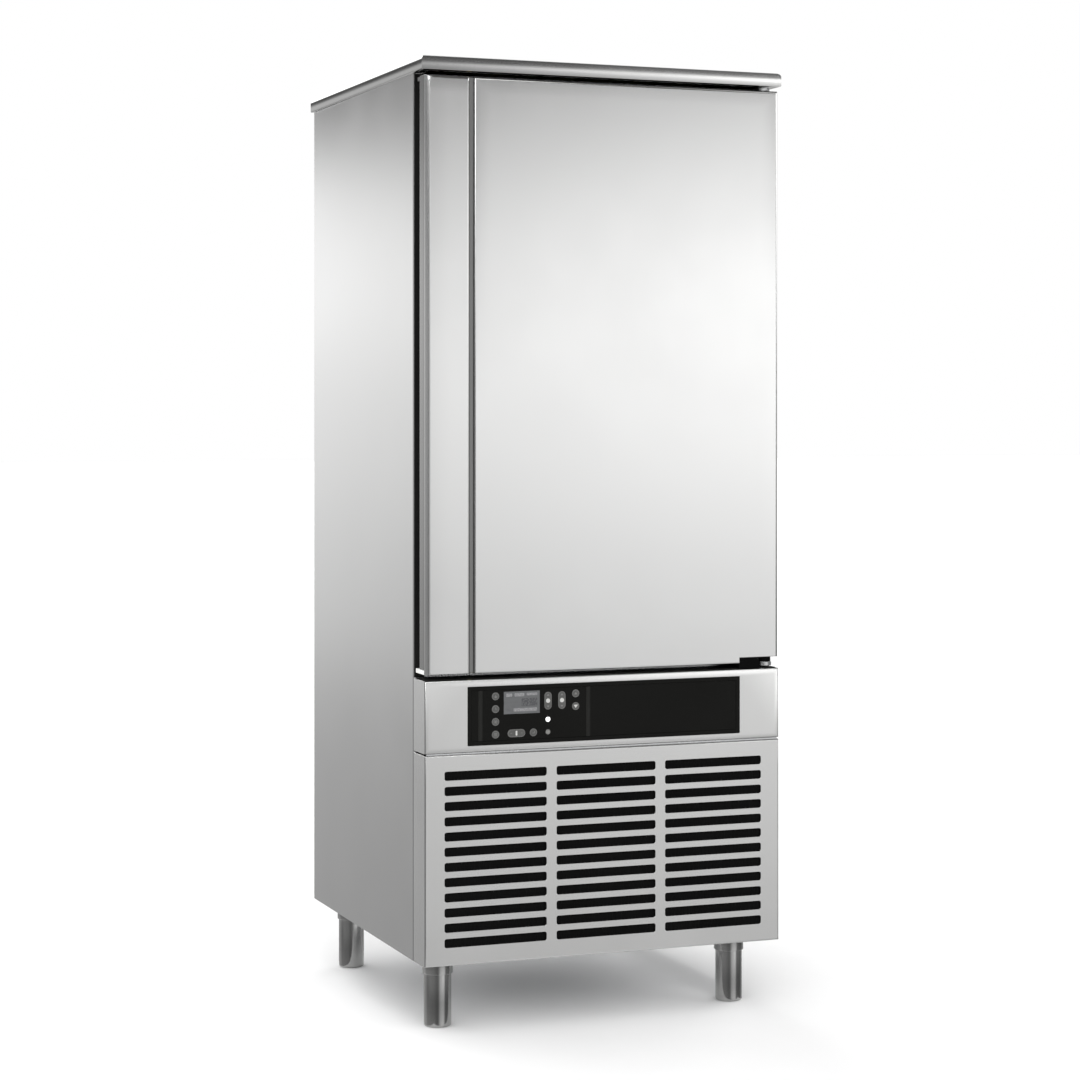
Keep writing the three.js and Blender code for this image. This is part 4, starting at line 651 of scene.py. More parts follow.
# A folded pan whose flat face has holes: the bends' last ring meets the pierced face line for line.
def piercedPan(x, z, radii, front, back, cells, holes, uMarks=(), vMarks=(), border=0.5):
    outline = edgedOutline(x, z, radii, uMarks, vMarks)
    rings = panRings(outline, back - front, border=border)
    rings[..., 1] += front
    left, right, bottom, top = np.broadcast_to(np.asarray(radii, float), 4) + border
    xLines = [x[0] + left, *uMarks, x[1] - right]
    zLines = [z[0] + bottom, *vMarks, z[1] - top]
    patches = [loft(rings)]
    for y in (front, front + sheet):
        patches += piercedFace(xLines, zLines, cells, holes, y)
    return patches + holeWalls(holes, front, front + sheet)


# Folded pan with the control panel's window. Over the crease its face leans back by lean * the height above
# the crease, and the crease itself stays sharp.
def makeFascia():
    low, high = nodeBox("fascia")
    half, side, top = fascia["windowX"], fascia["sideRadius"], fascia["topRadius"]
    window = roundedOutline((-half, half), fascia["windowZ"], fascia["windowRadius"], 5)
    back = fascia["frameFace"] - fascia["returnGap"]
    patches = piercedPan((low[0], high[0]), (low[2], high[2]), (side, side, side, top), low[1], back,
                         [(0, 0)], [window], border=fascia["border"])
    crease = high[2] - top - fascia["border"]
    for points, _ in patches:
        nearFace = points[:, 1] < low[1] + 8
        points[:, 1] += fascia["lean"] * np.clip(points[:, 2] - crease, 0, None) * nearFace
    patches += sideLips(high[0], (low[2], high[2]), back)
    piece = makePiece("fasciaPan", patches, "cabinet", ["brushedAcross", "brushedReturnLit"],
                      "fascia", sheetEdge)
    # Faces looking sideways take the lighter copy of the steel: painted light on the side returns.
    finishFacing(piece)
    points, ends = np.empty(len(piece.data.vertices) * 3), np.empty(len(piece.data.edges) * 2, int)
    piece.data.vertices.foreach_get("co", points)
    piece.data.edges.foreach_get("vertices", ends)
    onCrease = np.abs(points.reshape(-1, 3)[:, 2] / unit - crease) < 0.01
    piece.data.edges.foreach_set("use_edge_sharp", onCrease[ends.reshape(-1, 2)].all(axis=1))


makeFascia()

# The steel strip that backs the seam under the fascia, and black rubber strips over the fascia and on the side
# panels' flanges, the left one carried on along the top. The strips are partly real seal strips, and their
# black also paints the shade in the gaps round the door (painted shade).
seam = {"x": (-385.0, 385.0), "y": (-398.4, -397.2), "z": (561.1, 564.4)}
sealsAndShade = {"flange": (366.0, 387.6), "y": (-329.6, -328.1), "left": (711.0, 1915.0), "right": (731.0, 1902.0),
         "top": ((-387.6, 340.0), (1915.2, 1921.0)),
         "over": ((-385.6, 385.6), (-391.0, -331.0), (709.2, 710.6))}


# Flat strips, each a block between two corners.
def makeSeamAndShadeSeals():
    makePiece("seamStrip", block(seam["x"], seam["y"], seam["z"]), "cabinet", "plainSteel",
              softEdge=sheetEdge)
    inner, outer = sealsAndShade["flange"]
    patches = block((-outer, -inner), sealsAndShade["y"], sealsAndShade["left"])
    patches += block((inner, outer), sealsAndShade["y"], sealsAndShade["right"])
    patches += block(sealsAndShade["top"][0], sealsAndShade["y"], sealsAndShade["top"][1]) + block(*sealsAndShade["over"])
    # Their black paints the shade in the gaps beside and over the door (painted shade).
    makePiece("edgeSealsAndShade", patches, "cabinet", "gasketRubber", softEdge=sheetEdge)


makeSeamAndShadeSeals()

grille = {"radius": 3.0, "columns": 3, "rows": 12, "slot": (217.0, 17.7), "pitch": (238.8, 30.2),
          "lowest": 36.3, "corner": 4.0, "softEdge": 0.35}


# Rounded holes in columns about the middle and in rows upwards, the first row's lower edge at the given
# height. Also their columns and rows, and the lines halfway between them.
def slotGrid(look, bottom):
    (width, height), (stepX, stepZ) = look["slot"], look["pitch"]
    columns, rows = np.arange(look["columns"]), np.arange(look["rows"])
    first = bottom + look["lowest"] + height / 2
    across = (columns - (look["columns"] - 1) / 2) * stepX
    slot = roundedOutline((-width / 2, width / 2), (-height / 2, height / 2), look["corner"], 5)
    holes = slot[None] + pairs(across, first + rows * stepZ)[:, None]
    between = (columns[:-1] - (look["columns"] - 2) / 2) * stepX
    levels = first + (np.arange(look["rows"] + 1) - 0.5) * stepZ
    return holes, pairs(columns, rows), tuple(between), tuple(levels)


# Folded pan with a grid of slots.
def makeGrille():
    low, high = nodeBox("front_grille")
    holes, cells, between, levels = slotGrid(grille, low[2])
    back = fascia["frameFace"] - fascia["returnGap"]
    patches = piercedPan((low[0], high[0]), (low[2], high[2]), grille["radius"], low[1], back, cells, holes,
                         between, levels[1:-1])
    patches += sideLips(high[0], (low[2], high[2]), back)
    # Faces looking sideways take the lighter copy of the steel: painted light on the side returns.
    finishFacing(makePiece("grillePan", patches, "cabinet", ["brushedAcross", "brushedReturnLit"],
                           "front_grille", grille["softEdge"]))


makeGrille()

rear = {"columns": 2, "rows": 6, "slot": (260.0, 8.0), "pitch": (320.0, 32.0), "lowest": 70.0, "corner": 3.0,
        "glandHeight": 501.0, "glandHole": 10.3, "middle": 20.0, "overGland": 80.0}


# Flat sheet between its two faces, with long vents on both sides of a
# middle strip and the cable's hole in the strip.
def makeRearPanel():
    low, high = nodeBox("back_panel")
    vents, cells, _, levels = slotGrid(rear, low[2])
    holes = [*vents, circleOutline((0.0, rear["glandHeight"]), rear["glandHole"], 5)]
    uMarks, vMarks = (-rear["middle"], rear["middle"]), (*levels, rear["glandHeight"] + rear["overGland"])
    cells = [*(cells * [2, 1] + [0, 1]), (1, rear["rows"] + 1)]
    outline = edgedOutline((low[0], high[0]), (low[2], high[2]), 0.0, uMarks, vMarks)[:, :2]
    faces = (low[1], high[1])
    patches = [loft([atDepth(outline, y) for y in faces])] + holeWalls(holes, *faces)
    for y in faces:
        patches += piercedFace([low[0], *uMarks, high[0]], [low[2], *vMarks, high[2]], cells, holes, y)
    makePiece("rearPanel", patches, "cabinet", "brushedUpright", "back_panel", sheetEdge)


makeRearPanel()
print("casing made")


# Legs
leg = {"names": ("front_left", "front_right", "rear_left", "rear_right"), "sleeveRadius": 31.0,
       "sleeveEdge": 1.5, "bore": 28.3, "roof": 137.3, "cap": 4.4, "length": 35.0, "chamfer": 0.4,
       "stem": 8.0, "stemEnd": 50.0, "stud": 6.0, "studTop": 159.5, "nut": (11.0, 143.8, 151.8),
       "footRadius": 28.0, "footEdge": 4.0, "footTop": 137.0, "topEdge": 1.5, "wall": 2.0, "topPlate": 8.0,
       "stemGap": 0.3}


# Sleeve and foot as turned profiles of r and z: the sleeve with its
# roof, stem and stud, the foot a tube with a base.
def makeLegs():
    top, stem, stemEnd, studTop = leg["roof"] + leg["cap"], leg["stem"], leg["stemEnd"], leg["studTop"]
    bottom, r, edge, chamfer = top - leg["length"], leg["sleeveRadius"], leg["sleeveEdge"], leg["chamfer"]
    sleeve = np.vstack([[[0, studTop], [leg["stud"], studTop], [leg["stud"], top], [r - chamfer, top],
                         [r, top - chamfer]], arc((r - edge, bottom + edge), edge, 0, -90),
                        [[leg["bore"], bottom], [leg["bore"], leg["roof"]], [stem, leg["roof"]],
                         [stem, stemEnd + 1], [stem - 1, stemEnd], [0, stemEnd]]])
    r, edge, lip, top = leg["footRadius"], leg["footEdge"], leg["topEdge"], leg["footTop"]
    wall, hole, under = r - leg["wall"], stem + leg["stemGap"], top - leg["topPlate"]
    foot = np.vstack([[[0, 0]], arc((r - edge, edge), edge, -90, 0, 7), arc((r - lip, top - lip), lip, 0, 90),
                      [[hole, top], [hole, under], [wall, under], [wall, edge], [0, edge]]])
    for name in leg["names"]:
        low, high = nodeBox("leg_sleeve_" + name)
        place = (low + high)[:2] / 2
        makePiece("legSleeve_" + name, [turned(sleeve, place, 64), turned(rod(*leg["nut"]), place, 6)],
                  "cabinet", "legTube", "leg_sleeve_" + name)
        makePiece("legFoot_" + name, [turned(foot, place, 64)], "foot_" + name, "legTube",
                  "leg_foot_" + name)


makeLegs()
print("legs made")


# Door
door = {"radius": 6.0, "notch": (299.0, 733.0), "notchRadius": 1.0, "x": (-284.0, 387.5),
        "z": (721.0, 1912.0), "front": -400.0, "back": -339.8, "grooveRadius": 2.5, "footRadius": 3.0,
        "fall": (34.0, 0.34), "borders": (34.0, 28.0, 22.0, 16.0, 10.0, 5.0), "frontDepth": 20.0,
        "shadedTopBend": (0.05, 0.97)}
# How far the front falls back near its top: fall * (1 - distance below the top / width)^2.
def topFall(z):
    width, fall = door["fall"]
    return fall * np.clip(1 - (door["z"][1] - z) / width, 0, 1) ** 2


# Folded pan with a corner notch: the rings follow an outline of six corners.
def makeDoorSkin():
    (x0, x1), (z0, z1), r, small = door["x"], door["z"], door["radius"], door["notchRadius"]
    (notchX, notchZ), side, foot = door["notch"], door["grooveRadius"], door["footRadius"]
    outline = np.array([[x0, z0, 1, 1, side, foot], [notchX, z0, -1, 1, small, foot],
                        [notchX, notchZ, -1, 1, small, small], [x1, notchZ, -1, 1, r, small],
                        [x1, z1, -1, -1, r, r], [x0, z1, 1, -1, side, r]])
    rings = panRings(outline, door["back"] - door["front"])
    borders = [outline[:, :2] + outline[:, 2:4] * (outline[:, 4:] + width) for width in door["borders"]]
    rings = np.concatenate([[atDepth(points, 0.0) for points in borders], rings])
    rings[..., 1] += door["front"] + topFall(rings[..., 2]) * (rings[..., 1] < door["frontDepth"])
    looks = ["brushedUpright", "stripReturnShade"]
    piece = makePiece("doorSkin", closedLoft(rings), "door", looks, "door_skin")
    # The top bend's faces take the darker copy of the steel: painted shade.
    finishFacing(piece, (0, 0, 1), 1, door["shadedTopBend"], bothWays=False)


makeDoorSkin()

grip = {"x": (-387.1, -292.6), "leftRadius": 10.0, "crown": 0.6, "columns": 12, "return": 38.0, "border": 0.5,
        "frontRings": 10, "floor": (-294.9, -284.1), "floorDepth": (-394.0, -392.5), "floorInset": 2.0,
        "recess": (-353.0, -351.5), "flange": 16.0, "cap": 8.0, "capInset": 3.0, "capGap": 0.05,
        "softEdge": 0.6, "foamGap": 0.2, "plug": ((-387.5, -352.0), (-390.0, -339.9), (721.3, 730.0))}


# The strip is a closed pan whose face falls back to the left of its middle by
# crown * (distance / half)^2. Behind it are the groove's floor, the finger
# recess's wall and flange, the recess's upper end and the plug at its foot.
def makeGrip():
    (x0, x1), (z0, z1), right = grip["x"], door["z"], door["radius"]
    left, foot = grip["leftRadius"], door["footRadius"]
    border, depth, front, backEdge = grip["border"], grip["return"], door["front"], door["back"]
    flat = (x0 + left + border, x1 - right - border)
    marks = tuple(np.linspace(*flat, grip["columns"] + 1)[1:-1])
    levels = tuple(z1 - right - width for width in door["borders"])
    outline = edgedOutline((x0, x1), (z0, z1), (left, right, foot, right), marks, levels)
    rings = panRings(outline, depth, border=border)[:grip["frontRings"]]
    back = atDepth(outline[:, :2], depth)
    rows = [z0 + foot + border, *levels, z1 - right - border]
    face = piercedFace([flat[0], *marks, flat[1]], rows, [], [], 0.0)
    middle, half = (x0 + x1) / 2, (x1 - x0) / 2
    shaped = []
    for points, faces in [loft([*rings, back]), *face]:
        crown = grip["crown"] * np.clip((middle - points[:, 0]) / half, 0, None) ** 2
        shift = front + (crown + topFall(points[:, 2])) * (points[:, 1] < door["frontDepth"])
        shaped.append((points + np.column_stack([0 * shift, shift, 0 * shift]), faces))
    shaped.append(fill(back + [0, front, 0]))
    recess, (low, high) = grip["recess"], (z0 + grip["cap"], z1 - grip["cap"])
    wall = block(recess, (front + depth, backEdge), (low, high))
    flange = block((recess[1] - grip["flange"], recess[0]), (backEdge - sheet, backEdge), (low, high))
    # The groove's floor plate and the recess's upper end take the darker steel: painted shade.
    floorPlate = block(grip["floor"], grip["floorDepth"], (z0 + grip["floorInset"], z1 - grip["floorInset"]))
    cap = block((x0 + grip["capInset"], recess[1]), (front + depth + grip["capGap"], backEdge), (high, z1))
    # The plug at the recess's foot is pale nylon, whose pale colour paints a highlight there (painted
    # highlight).
    strip = makePiece("doorGrip", shaped + wall + flange, "door",
                      ["brushedUpright", "grooveShadeSteel", "paleNylonHighlight", "stripReturnShade"],
                      "door_handle", grip["softEdge"], extra=(floorPlate + cap, block(*grip["plug"])))
    # Faces looking sideways and the top bend take the darker copy of the steel: painted shade.
    finishFacing(strip, finish=3)
    finishFacing(strip, (0, 0, 1), 3, door["shadedTopBend"], bothWays=False)


makeGrip()


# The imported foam, whose rounded edge is drawn in to a circle inside the strip's wide bend: centre + way to
# the point * reach / distance, where the distance is over the reach.
def makeDoorFoam():
    points, faces = packedShape("door_foam")
    radius = grip["leftRadius"]
    reach = radius - sheet - grip["foamGap"]
    offset = points[:, :2] - [grip["x"][0] + radius, door["front"] + radius]
    distance = np.linalg.norm(offset, axis=1, keepdims=True)
    corner = (offset < 0).all(axis=1) & (distance[:, 0] > reach)
    points[corner, :2] += (offset * (reach / distance - 1))[corner]
    makePiece("doorFoam", [(points, faces)], "door", "rigidFoam", "door_foam")


makeDoorFoam()
print("door made")


# Door's back and its hinges
doorLiner = {"x": (-367.5, 384.0), "z": (724.5, 1908.5), "notch": (295.5, 736.5), "y": (-339.5, -338.0),
             "field": ((-318.0, 318.0), (792.5, 1849.5)), "raise": 8.0, "sunk": 0.4, "radius": 6.0}


# Flat plate with a corner notch, and on it a raised field: a shallow pan that faces backwards.
def makeDoorLiner():
    (x0, x1), (z0, z1), (notchX, notchZ) = doorLiner["x"], doorLiner["z"], doorLiner["notch"]
    plan = np.array([[x0, z0], [notchX, z0], [notchX, notchZ], [x1, notchZ], [x1, z1], [x0, z1]])
    plate = slab(plan, doorLiner["y"])
    (fieldX, fieldZ), rise = doorLiner["field"], doorLiner["raise"]
    rings = panRings(edgedOutline(fieldX, fieldZ, doorLiner["radius"]), rise + doorLiner["sunk"])
    rings[..., 1] = doorLiner["y"][1] + rise - rings[..., 1]
    patches = plate + closedLoft(rings)
    makePiece("doorLiner", patches, "door", "plainSteel", "door_liner", sheetEdge)


makeDoorLiner()

gasket = {"x": (-361.0, 361.0), "z": (749.5, 1892.5), "sharpAngle": 50,
          "section": [(3.0, -337.6), (8.0, -337.9), (18.0, -337.9), (23.0, -337.6), (25.2, -336.6),
                      (24.2, -335.2), (21.8, -334.2), (24.0, -333.2), (26.0, -331.8), (26.0, -329.4),
                      (24.8, -328.4), (13.0, -328.35), (1.2, -328.4), (0.0, -329.4), (0.0, -331.8),
                      (2.0, -333.2), (4.2, -334.2), (1.8, -335.2), (0.8, -336.6), (3.0, -337.6)]}


# The seal's folded section carried round the door: each point of it is
# a rectangle drawn in by the point's offset.
def makeGasket():
    rings = drawnRings(gasket["x"], gasket["z"], gasket["section"])
    makePiece("doorGasket", [loft(rings)], "door", "gasketRubber", "door_gasket",
              sharpAngle=gasket["sharpAngle"])


makeGasket()

hinge = {"pivot": (364.0, -375.0), "flange": 3.5, "flangeHeight": 16.0, "rear": -328.3, "softEdge": 0.5,
         "lower": {"plate": (714.0, 722.0), "nose": 18.0, "pin": (722.0, 754.0)},
         "upper": {"plate": (1914.0, 1920.0), "nose": 14.0, "pin": (1891.0, 1914.0)},
         "pinRadius": 6.0, "pinChamfer": 1.2, "pinSunk": 1.0}


# Bracket: a plate with a half round nose about the pivot, a flange
# against the frame and a pin with a turned end.
def makeBracket(node, which):
    part, rear = hinge[which], hinge["rear"]
    (px, py), nose, (z0, z1), (low, high) = hinge["pivot"], part["nose"], part["plate"], part["pin"]
    plan = np.vstack([arc((px, py), nose, 180, 360, 17), [[px + nose, rear], [px - nose, rear]]])
    patches = standing(plan, (z0, z1))
    if which == "upper":
        tall, start, end, way = (z1 - hinge["flangeHeight"], z0 + 0.5), high, low, 1
    else:
        tall, start, end, way = (z1 - 0.5, z0 + hinge["flangeHeight"]), low, high, -1
    patches += block((px - nose, px + nose), (rear - hinge["flange"], rear), tall)
    r, chamfer = hinge["pinRadius"], hinge["pinChamfer"]
    start += way * hinge["pinSunk"]
    pin = [[0, start], [r, start], [r, end + way * chamfer], [r - chamfer, end], [0, end]]
    patches.append(turned(pin, (px, py), 32))
    makePiece(which + "HingeBracket", patches, "cabinet", "plainSteel", node,
              hinge["softEdge"])


makeBracket("lower_hinge_bracket", "lower")
makeBracket("upper_hinge_bracket", "upper")

cornerBlock = {"x": (299.3, 345.4), "y": (-396.0, -346.0), "z": (711.0, 732.7), "radius": 2.0,
               "softEdge": 0.7}
bush = {"outer": 16.0, "inner": 6.3, "z": (722.3, 732.7), "edge": 0.8}


# Moulded block with soft edges, and the bush that the lower pin turns in.
def makeCornerBlock():
    outline = roundedOutline(cornerBlock["x"], cornerBlock["z"], cornerBlock["radius"], 5)
    makePiece("doorCornerBlock", slab(outline, cornerBlock["y"]), "door", "blackNylon",
              "door_corner_block", cornerBlock["softEdge"])
    (z0, z1), outer, inner, edge = bush["z"], bush["outer"], bush["inner"], bush["edge"]
    profile = [[inner, z0], [outer - edge, z0], [outer, z0 + edge], [outer, z1 - edge], [outer - edge, z1],
               [inner, z1], [inner, z0]]
    patches = [turned(profile, hinge["pivot"], 40)]
    makePiece("lowerHingeBush", patches, "door", "blackNylon", "lower_hinge_bush")


makeCornerBlock()
print("door's back and hinges made")


# Control panel
bezel = {"x": (-298.7, 298.7), "z": (577.3, 694.7), "front": -400.0, "field": -398.8, "rim": 8.0,
         "plate": 3.0, "depth": 14.0, "wall": 2.5, "soft": 0.4, "railX": (-271.5, -39.5), "railWidth": 11.0,
         "railRise": 0.8, "railSunk": 0.4, "railBack": 1.0}
lamps = {"lampLower": ((-127.0, 598.0), "lampDim"), "lampUpper": ((-127.0, 623.4), "lampWhite")}
lampShape = {"radius": 5.0, "gap": 0.05, "lens": 18.7, "lensDepth": 18.0, "back": 0.8,
             "boss": [(-6.1, 0.5), (0.0, 0.5), (0.0, -0.1), (-0.4, -0.35), (-1.0, -0.35), (-1.1, 0.0),
                      (-6.1, 0.0)]}


# The moulding as one shell: rectangles drawn in by the offsets of a rim, a sunk field and a plate behind it.
# Each rail is a low arch, rise * (1 - (distance from its middle / half)^2), carried up the field. The lamps
# are shallow domes, turned, in bosses whose profile starts from the boss's radius and the field.
def makeBezel():
    (x0, x1), (z0, z1), front, field = bezel["x"], bezel["z"], bezel["front"], bezel["field"]
    soft, rim, wall, sunk = bezel["soft"], bezel["rim"], bezel["wall"], bezel["railSunk"]
    back = front + bezel["depth"]
    shell = drawnRings((x0, x1), (z0, z1), [(rim + soft + 0.3, field), (rim + soft, field),
                                            (rim, field - soft), (rim - soft, front), (soft, front),
                                            (0, front + soft), (0, back), (wall, back),
                                            (wall, field + bezel["plate"])])
    raised = []
    u = np.linspace(-1, 1, 9)
    for middle in bezel["railX"]:
        x = middle + u * bezel["railWidth"] / 2
        y = field + sunk - (bezel["railRise"] + sunk) * (1 - u**2)
        behind = field + bezel["railBack"]
        section = np.vstack([np.column_stack([x, y]), [[x[-1], behind], [x[0], behind]]])
        raised += standing(section, (z0 + rim + soft, z1 - rim - soft))
    boss = lampShape["boss"] + np.array([lampShape["radius"] + 1.1, field])
    raised += [turned(boss, place, 40, "y") for place, _ in lamps.values()]
    makePiece("controlBezel", closedLoft(shell), "cabinet", ["overlayBlack", "railBlack"],
              "control_bezel", extra=(raised,))
    r, lens, back = lampShape["radius"] - lampShape["gap"], lampShape["lens"], field + lampShape["back"]
    dome = arc((0, field + lampShape["lensDepth"]), lens, -90, np.degrees(np.arcsin(r / lens)) - 90, 6)
    for name, (place, look) in lamps.items():
        patches = [turned(np.vstack([dome, [[r, back], [0, back]]]), place, 40, "y")]
        makePiece(name, patches, "cabinet", look)


makeBezel()

display = {"soft": 0.5, "marks": [(-217.0, -204.0, 672.0, 678.5), (-199.0, -178.0, 672.0, 678.5),
                                  (-173.0, -150.0, 673.5, 678.5), (-201.0, -151.0, 642.0, 648.5)],
           "shades": [(-184.0, -150.0, 652.5, 668.0)], "rises": (0.05, 0.04), "corner": 1.2}


# Pane with softened edges, and the lit and the dark fields on it as thin plates.
def makeDisplay():
    low, high = nodeBox("display_window")
    front, soft = low[1], display["soft"]
    pane = drawnRings((low[0], high[0]), (low[2], high[2]), [(soft, front), (0, front + soft), (0, high[1])])
    plates = []
    for areas, rise in zip((display["marks"], display["shades"]), display["rises"]):
        flats = [roundedOutline(area[:2], area[2:], display["corner"], 5) for area in areas]
        plates.append(sum((slab(flat, (front - rise, front + 0.05)) for flat in flats), []))
    makePiece("displayWindow", closedLoft(pane), "cabinet", ["displayPane", "displayMark", "displayShade"],
              "display_window", extra=plates)


makeDisplay()

keys = {"gap": 1.5, "face": -399.6, "soft": 0.5, "back": -395.2, "ring": (0.9, 1.5), "print": 0.06,
        "sunk": 0.1,
        "symbols": {"mode_key_1": "bars", "mode_key_2": "star", "mode_key_3": "clock", "mode_key_4": "drop",
                    "temperature_key": "tall", "time_key": "tall", "down_key": "down", "up_key": "up",
                    "start_key": "start", "enter_key": "enter"},
        "lit": ("temperature_key", "time_key", "down_key", "start_key")}  # whose last mark is the brightest
# Symbols as flat outlines about a key's middle: bars are turned rectangles, discs are circles.
def keySymbol(kind):
    def bar(length, width, turn=0.0, place=(0.0, 0.0)):
        flat = roundedOutline((-length / 2, length / 2), (-width / 2, width / 2), width * 0.3, 3)
        c, s = np.cos(np.radians(turn)), np.sin(np.radians(turn))
        return flat @ np.array([[c, s], [-s, c]]) + place

    def disc(radius, place=(0.0, 0.0)):
        return circleOutline(place, radius, 6)

    def wedge(size, up, place=(0.0, 0.0)):
        return np.array([[-size, -0.6 * size * up], [size, -0.6 * size * up], [0.0, 0.8 * size * up]]) + place

    return {
        "bars": [bar(6.5, 1.1, 0, (0, h)) for h in (-2.4, 0.0, 2.4)],
        "star": [bar(8.0, 1.1, turn) for turn in (0, 60, 120)],
        "clock": [bar(3.6, 1.1, 90, (0, 1.6)), bar(3.2, 1.1, 0, (1.3, 0)), disc(1.0)],
        "drop": [disc(2.4, (0, -1.0)), wedge(2.1, 1, (0, 1.4))],
        "tall": [wedge(2.8, 1, (0, 11.5)), wedge(2.8, -1, (0, -11.5)), disc(4.4)],
        "down": [wedge(4.6, -1)], "up": [wedge(3.4, 1)],
        "start": [bar(3.0, 1.0, 0, (-11.0, 0)), bar(3.0, 1.0, 0, (11.0, 0)), bar(9.5, 3.6, 90)],
        "enter": [bar(5.0, 1.1, 0, (0, -1.2)), bar(4.4, 1.1, 90, (2.2, 0.8))],
    }[kind]


# Cap: the key's outline drawn in over a soft edge. Printed on it are a ring along its edge and its symbol.
def makeKeys():
    face, soft, (outer, inner) = keys["face"], keys["soft"], keys["ring"]
    proud, under = face - keys["print"], face + keys["sunk"]
    profile = [(soft + 0.2, face), (soft, face), (soft * 0.3, face + soft * 0.35), (0, face + soft),
               (0, keys["back"])]
    loop = [(outer, proud), (inner, proud), (inner, under), (outer, under), (outer, proud)]
    for node, kind in keys["symbols"].items():
        low, high = nodeBox(node)
        middle, half = (low + high)[[0, 2]] / 2, (high - low)[[0, 2]] / 2 - keys["gap"]

        def rings(insets):  # the key's outline at each inset and depth
            drawn = [(half - inset, y) for inset, y in insets]
            outlines = [roundedOutline(*zip(middle - size, middle + size), min(size) * 0.999, 8)
                        for size, _ in drawn]
            return [atDepth(outline, y) for outline, (_, y) in zip(outlines, drawn)]

        flats = [slab(flat + middle, (proud, under)) for flat in keySymbol(kind)]
        lit = flats.pop() if node in keys["lit"] else []
        makePiece("key_" + node, closedLoft(rings(profile)), node, ["keyGrey", "keyPrint", "keyLit"],
                  node, extra=([loft(rings(loop))] + sum(flats, []), lit))


makeKeys()

filterShadePad = {"x": (-352.0, 352.0), "y": (-396.5, -386.5), "z": (166.0, 548.0), "ribPitch": 8.0,
             "ribDepth": 1.5, "points": 353}


# Black pad behind the slots, held in the front panel, drawn as a ribbed dust filter: its black paints
# the shade inside the machine space (painted shade). Its front is at y + depth * |sin| across it.
def makeFilterShade():
    (x0, x1), (y0, y1) = filterShadePad["x"], filterShadePad["y"]
    x = np.linspace(x0, x1, filterShadePad["points"])
    ribs = filterShadePad["ribDepth"] * np.abs(np.sin(np.pi * (x - x0) / filterShadePad["ribPitch"]))
    section = np.vstack([np.column_stack([x, y0 + ribs]), [[x1, y1], [x0, y1]]])
    makePiece("dustFilterShade", standing(section, filterShadePad["z"]), "cabinet", "filterBlack")


makeFilterShade()
print("control panel made")

# Inside of the cabinet


# Round tube along square corners: between two legs its middle runs on centre -
# R after cos a + R before sin a, and the circle r (cos t side + sin t up)
# stands square to the way, its two arms turned along with it at each bend.
def tubeAlong(corners, radius, bend, sides=16, steps=8):
    corners = np.asarray(corners, float)
    way = np.diff(corners, axis=0)
    way /= np.linalg.norm(way, axis=1, keepdims=True)
    side = np.cross(way[0], [0.31, 0.59, 0.83])
    side /= np.linalg.norm(side)
    stations, sideways, ahead = [corners[:1]], [side[None]], [way[:1]]
    a = np.linspace(0, np.pi / 2, steps)[:, None]
    for before, after, corner in zip(way[:-1], way[1:], corners[1:-1]):
        centre = corner + bend * (after - before)
        axis = np.cross(before, after)
        stations.append(centre - bend * after * np.cos(a) + bend * before * np.sin(a))
        ahead.append(before * np.cos(a) + after * np.sin(a))
        turning = side * np.cos(a) + np.cross(axis, side) * np.sin(a) + axis * (axis @ side) * (1 - np.cos(a))
        sideways.append(turning)
        side = turning[-1]
    stations, sideways, ahead = (np.vstack(rows) for rows in (
        [*stations, corners[-1:]], [*sideways, side[None]], [*ahead, way[-1:]]))
    t = np.linspace(0, 2 * np.pi, sides, endpoint=False)[None, :, None]
    up = np.cross(ahead, sideways)
    return closedLoft(stations[:, None] + radius * (sideways[:, None] * np.cos(t) + up[:, None] * np.sin(t)))


# The same patches once more at each offset.
def repeated(patches, offsets):
    offsets = np.asarray(offsets, float)
    copies = []
    for points, faces in patches:
        faces = np.asarray(faces)
        moved = points[None] + offsets[:, None]
        shifted = faces[None] + len(points) * np.arange(len(offsets))[:, None, None]
        copies.append((moved.reshape(-1, 3), shifted.reshape(-1, faces.shape[1])))
    return copies


# Patches turned about the y axis: x cos a + z sin a, z cos a - x sin a.
def rolled(patches, degrees):
    c, s = np.cos(np.radians(degrees)), np.sin(np.radians(degrees))
    turn = np.array([[c, 0, -s], [0, 1, 0], [s, 0, c]])
    return [(points @ turn, faces) for points, faces in patches]


# Patches set down at a place, turned half round about z where way is -1.
def placed(patches, place, way=1):
    return [(points * [way, way, 1] + place, faces) for points, faces in patches]


# Torus: a circle of the wire's radius turned about the y axis at the ring's radius.
def wireRing(radius, y, wire, sides=48):
    return turned(arc((radius, y), wire, 0, 360, 9), (0.0, 0.0), sides, "y")


chamber = {"x": (-329.0, 329.0), "z": (781.5, 1860.5), "front": -306.2, "back": 334.0, "radius": 12.0}


# Rounded rectangle carried back, then drawn in by R (1 - cos a) while
# it goes R sin a deeper, and the same one sheet further out.
def makeChamberLiner():
    r, (x0, x1), (z0, z1), front, back = (chamber[key] for key in ("radius", "x", "z", "front", "back"))

    def ring(grow, inset, y):
        more = grow - inset
        outline = roundedOutline((x0 - more, x1 + more), (z0 - more, z1 + more), r + max(more, 1 - r), 7)
        return atDepth(outline, y)

    a = np.linspace(0, np.pi / 2, 7)
    inner = [ring(0, 0, front)] + [ring(0, r * (1 - np.cos(k)), back - r + r * np.sin(k)) for k in a]
    outer = [ring(sheet, 0, y) for y in (front, back + sheet)]
    patches = [loft(inner), fill(inner[-1]), loft([inner[0], outer[0]]), loft(outer), fill(outer[-1])]
    makePiece("chamberLiner", patches, "cabinet", "plainSteel", "chamber_liner")


makeChamberLiner()

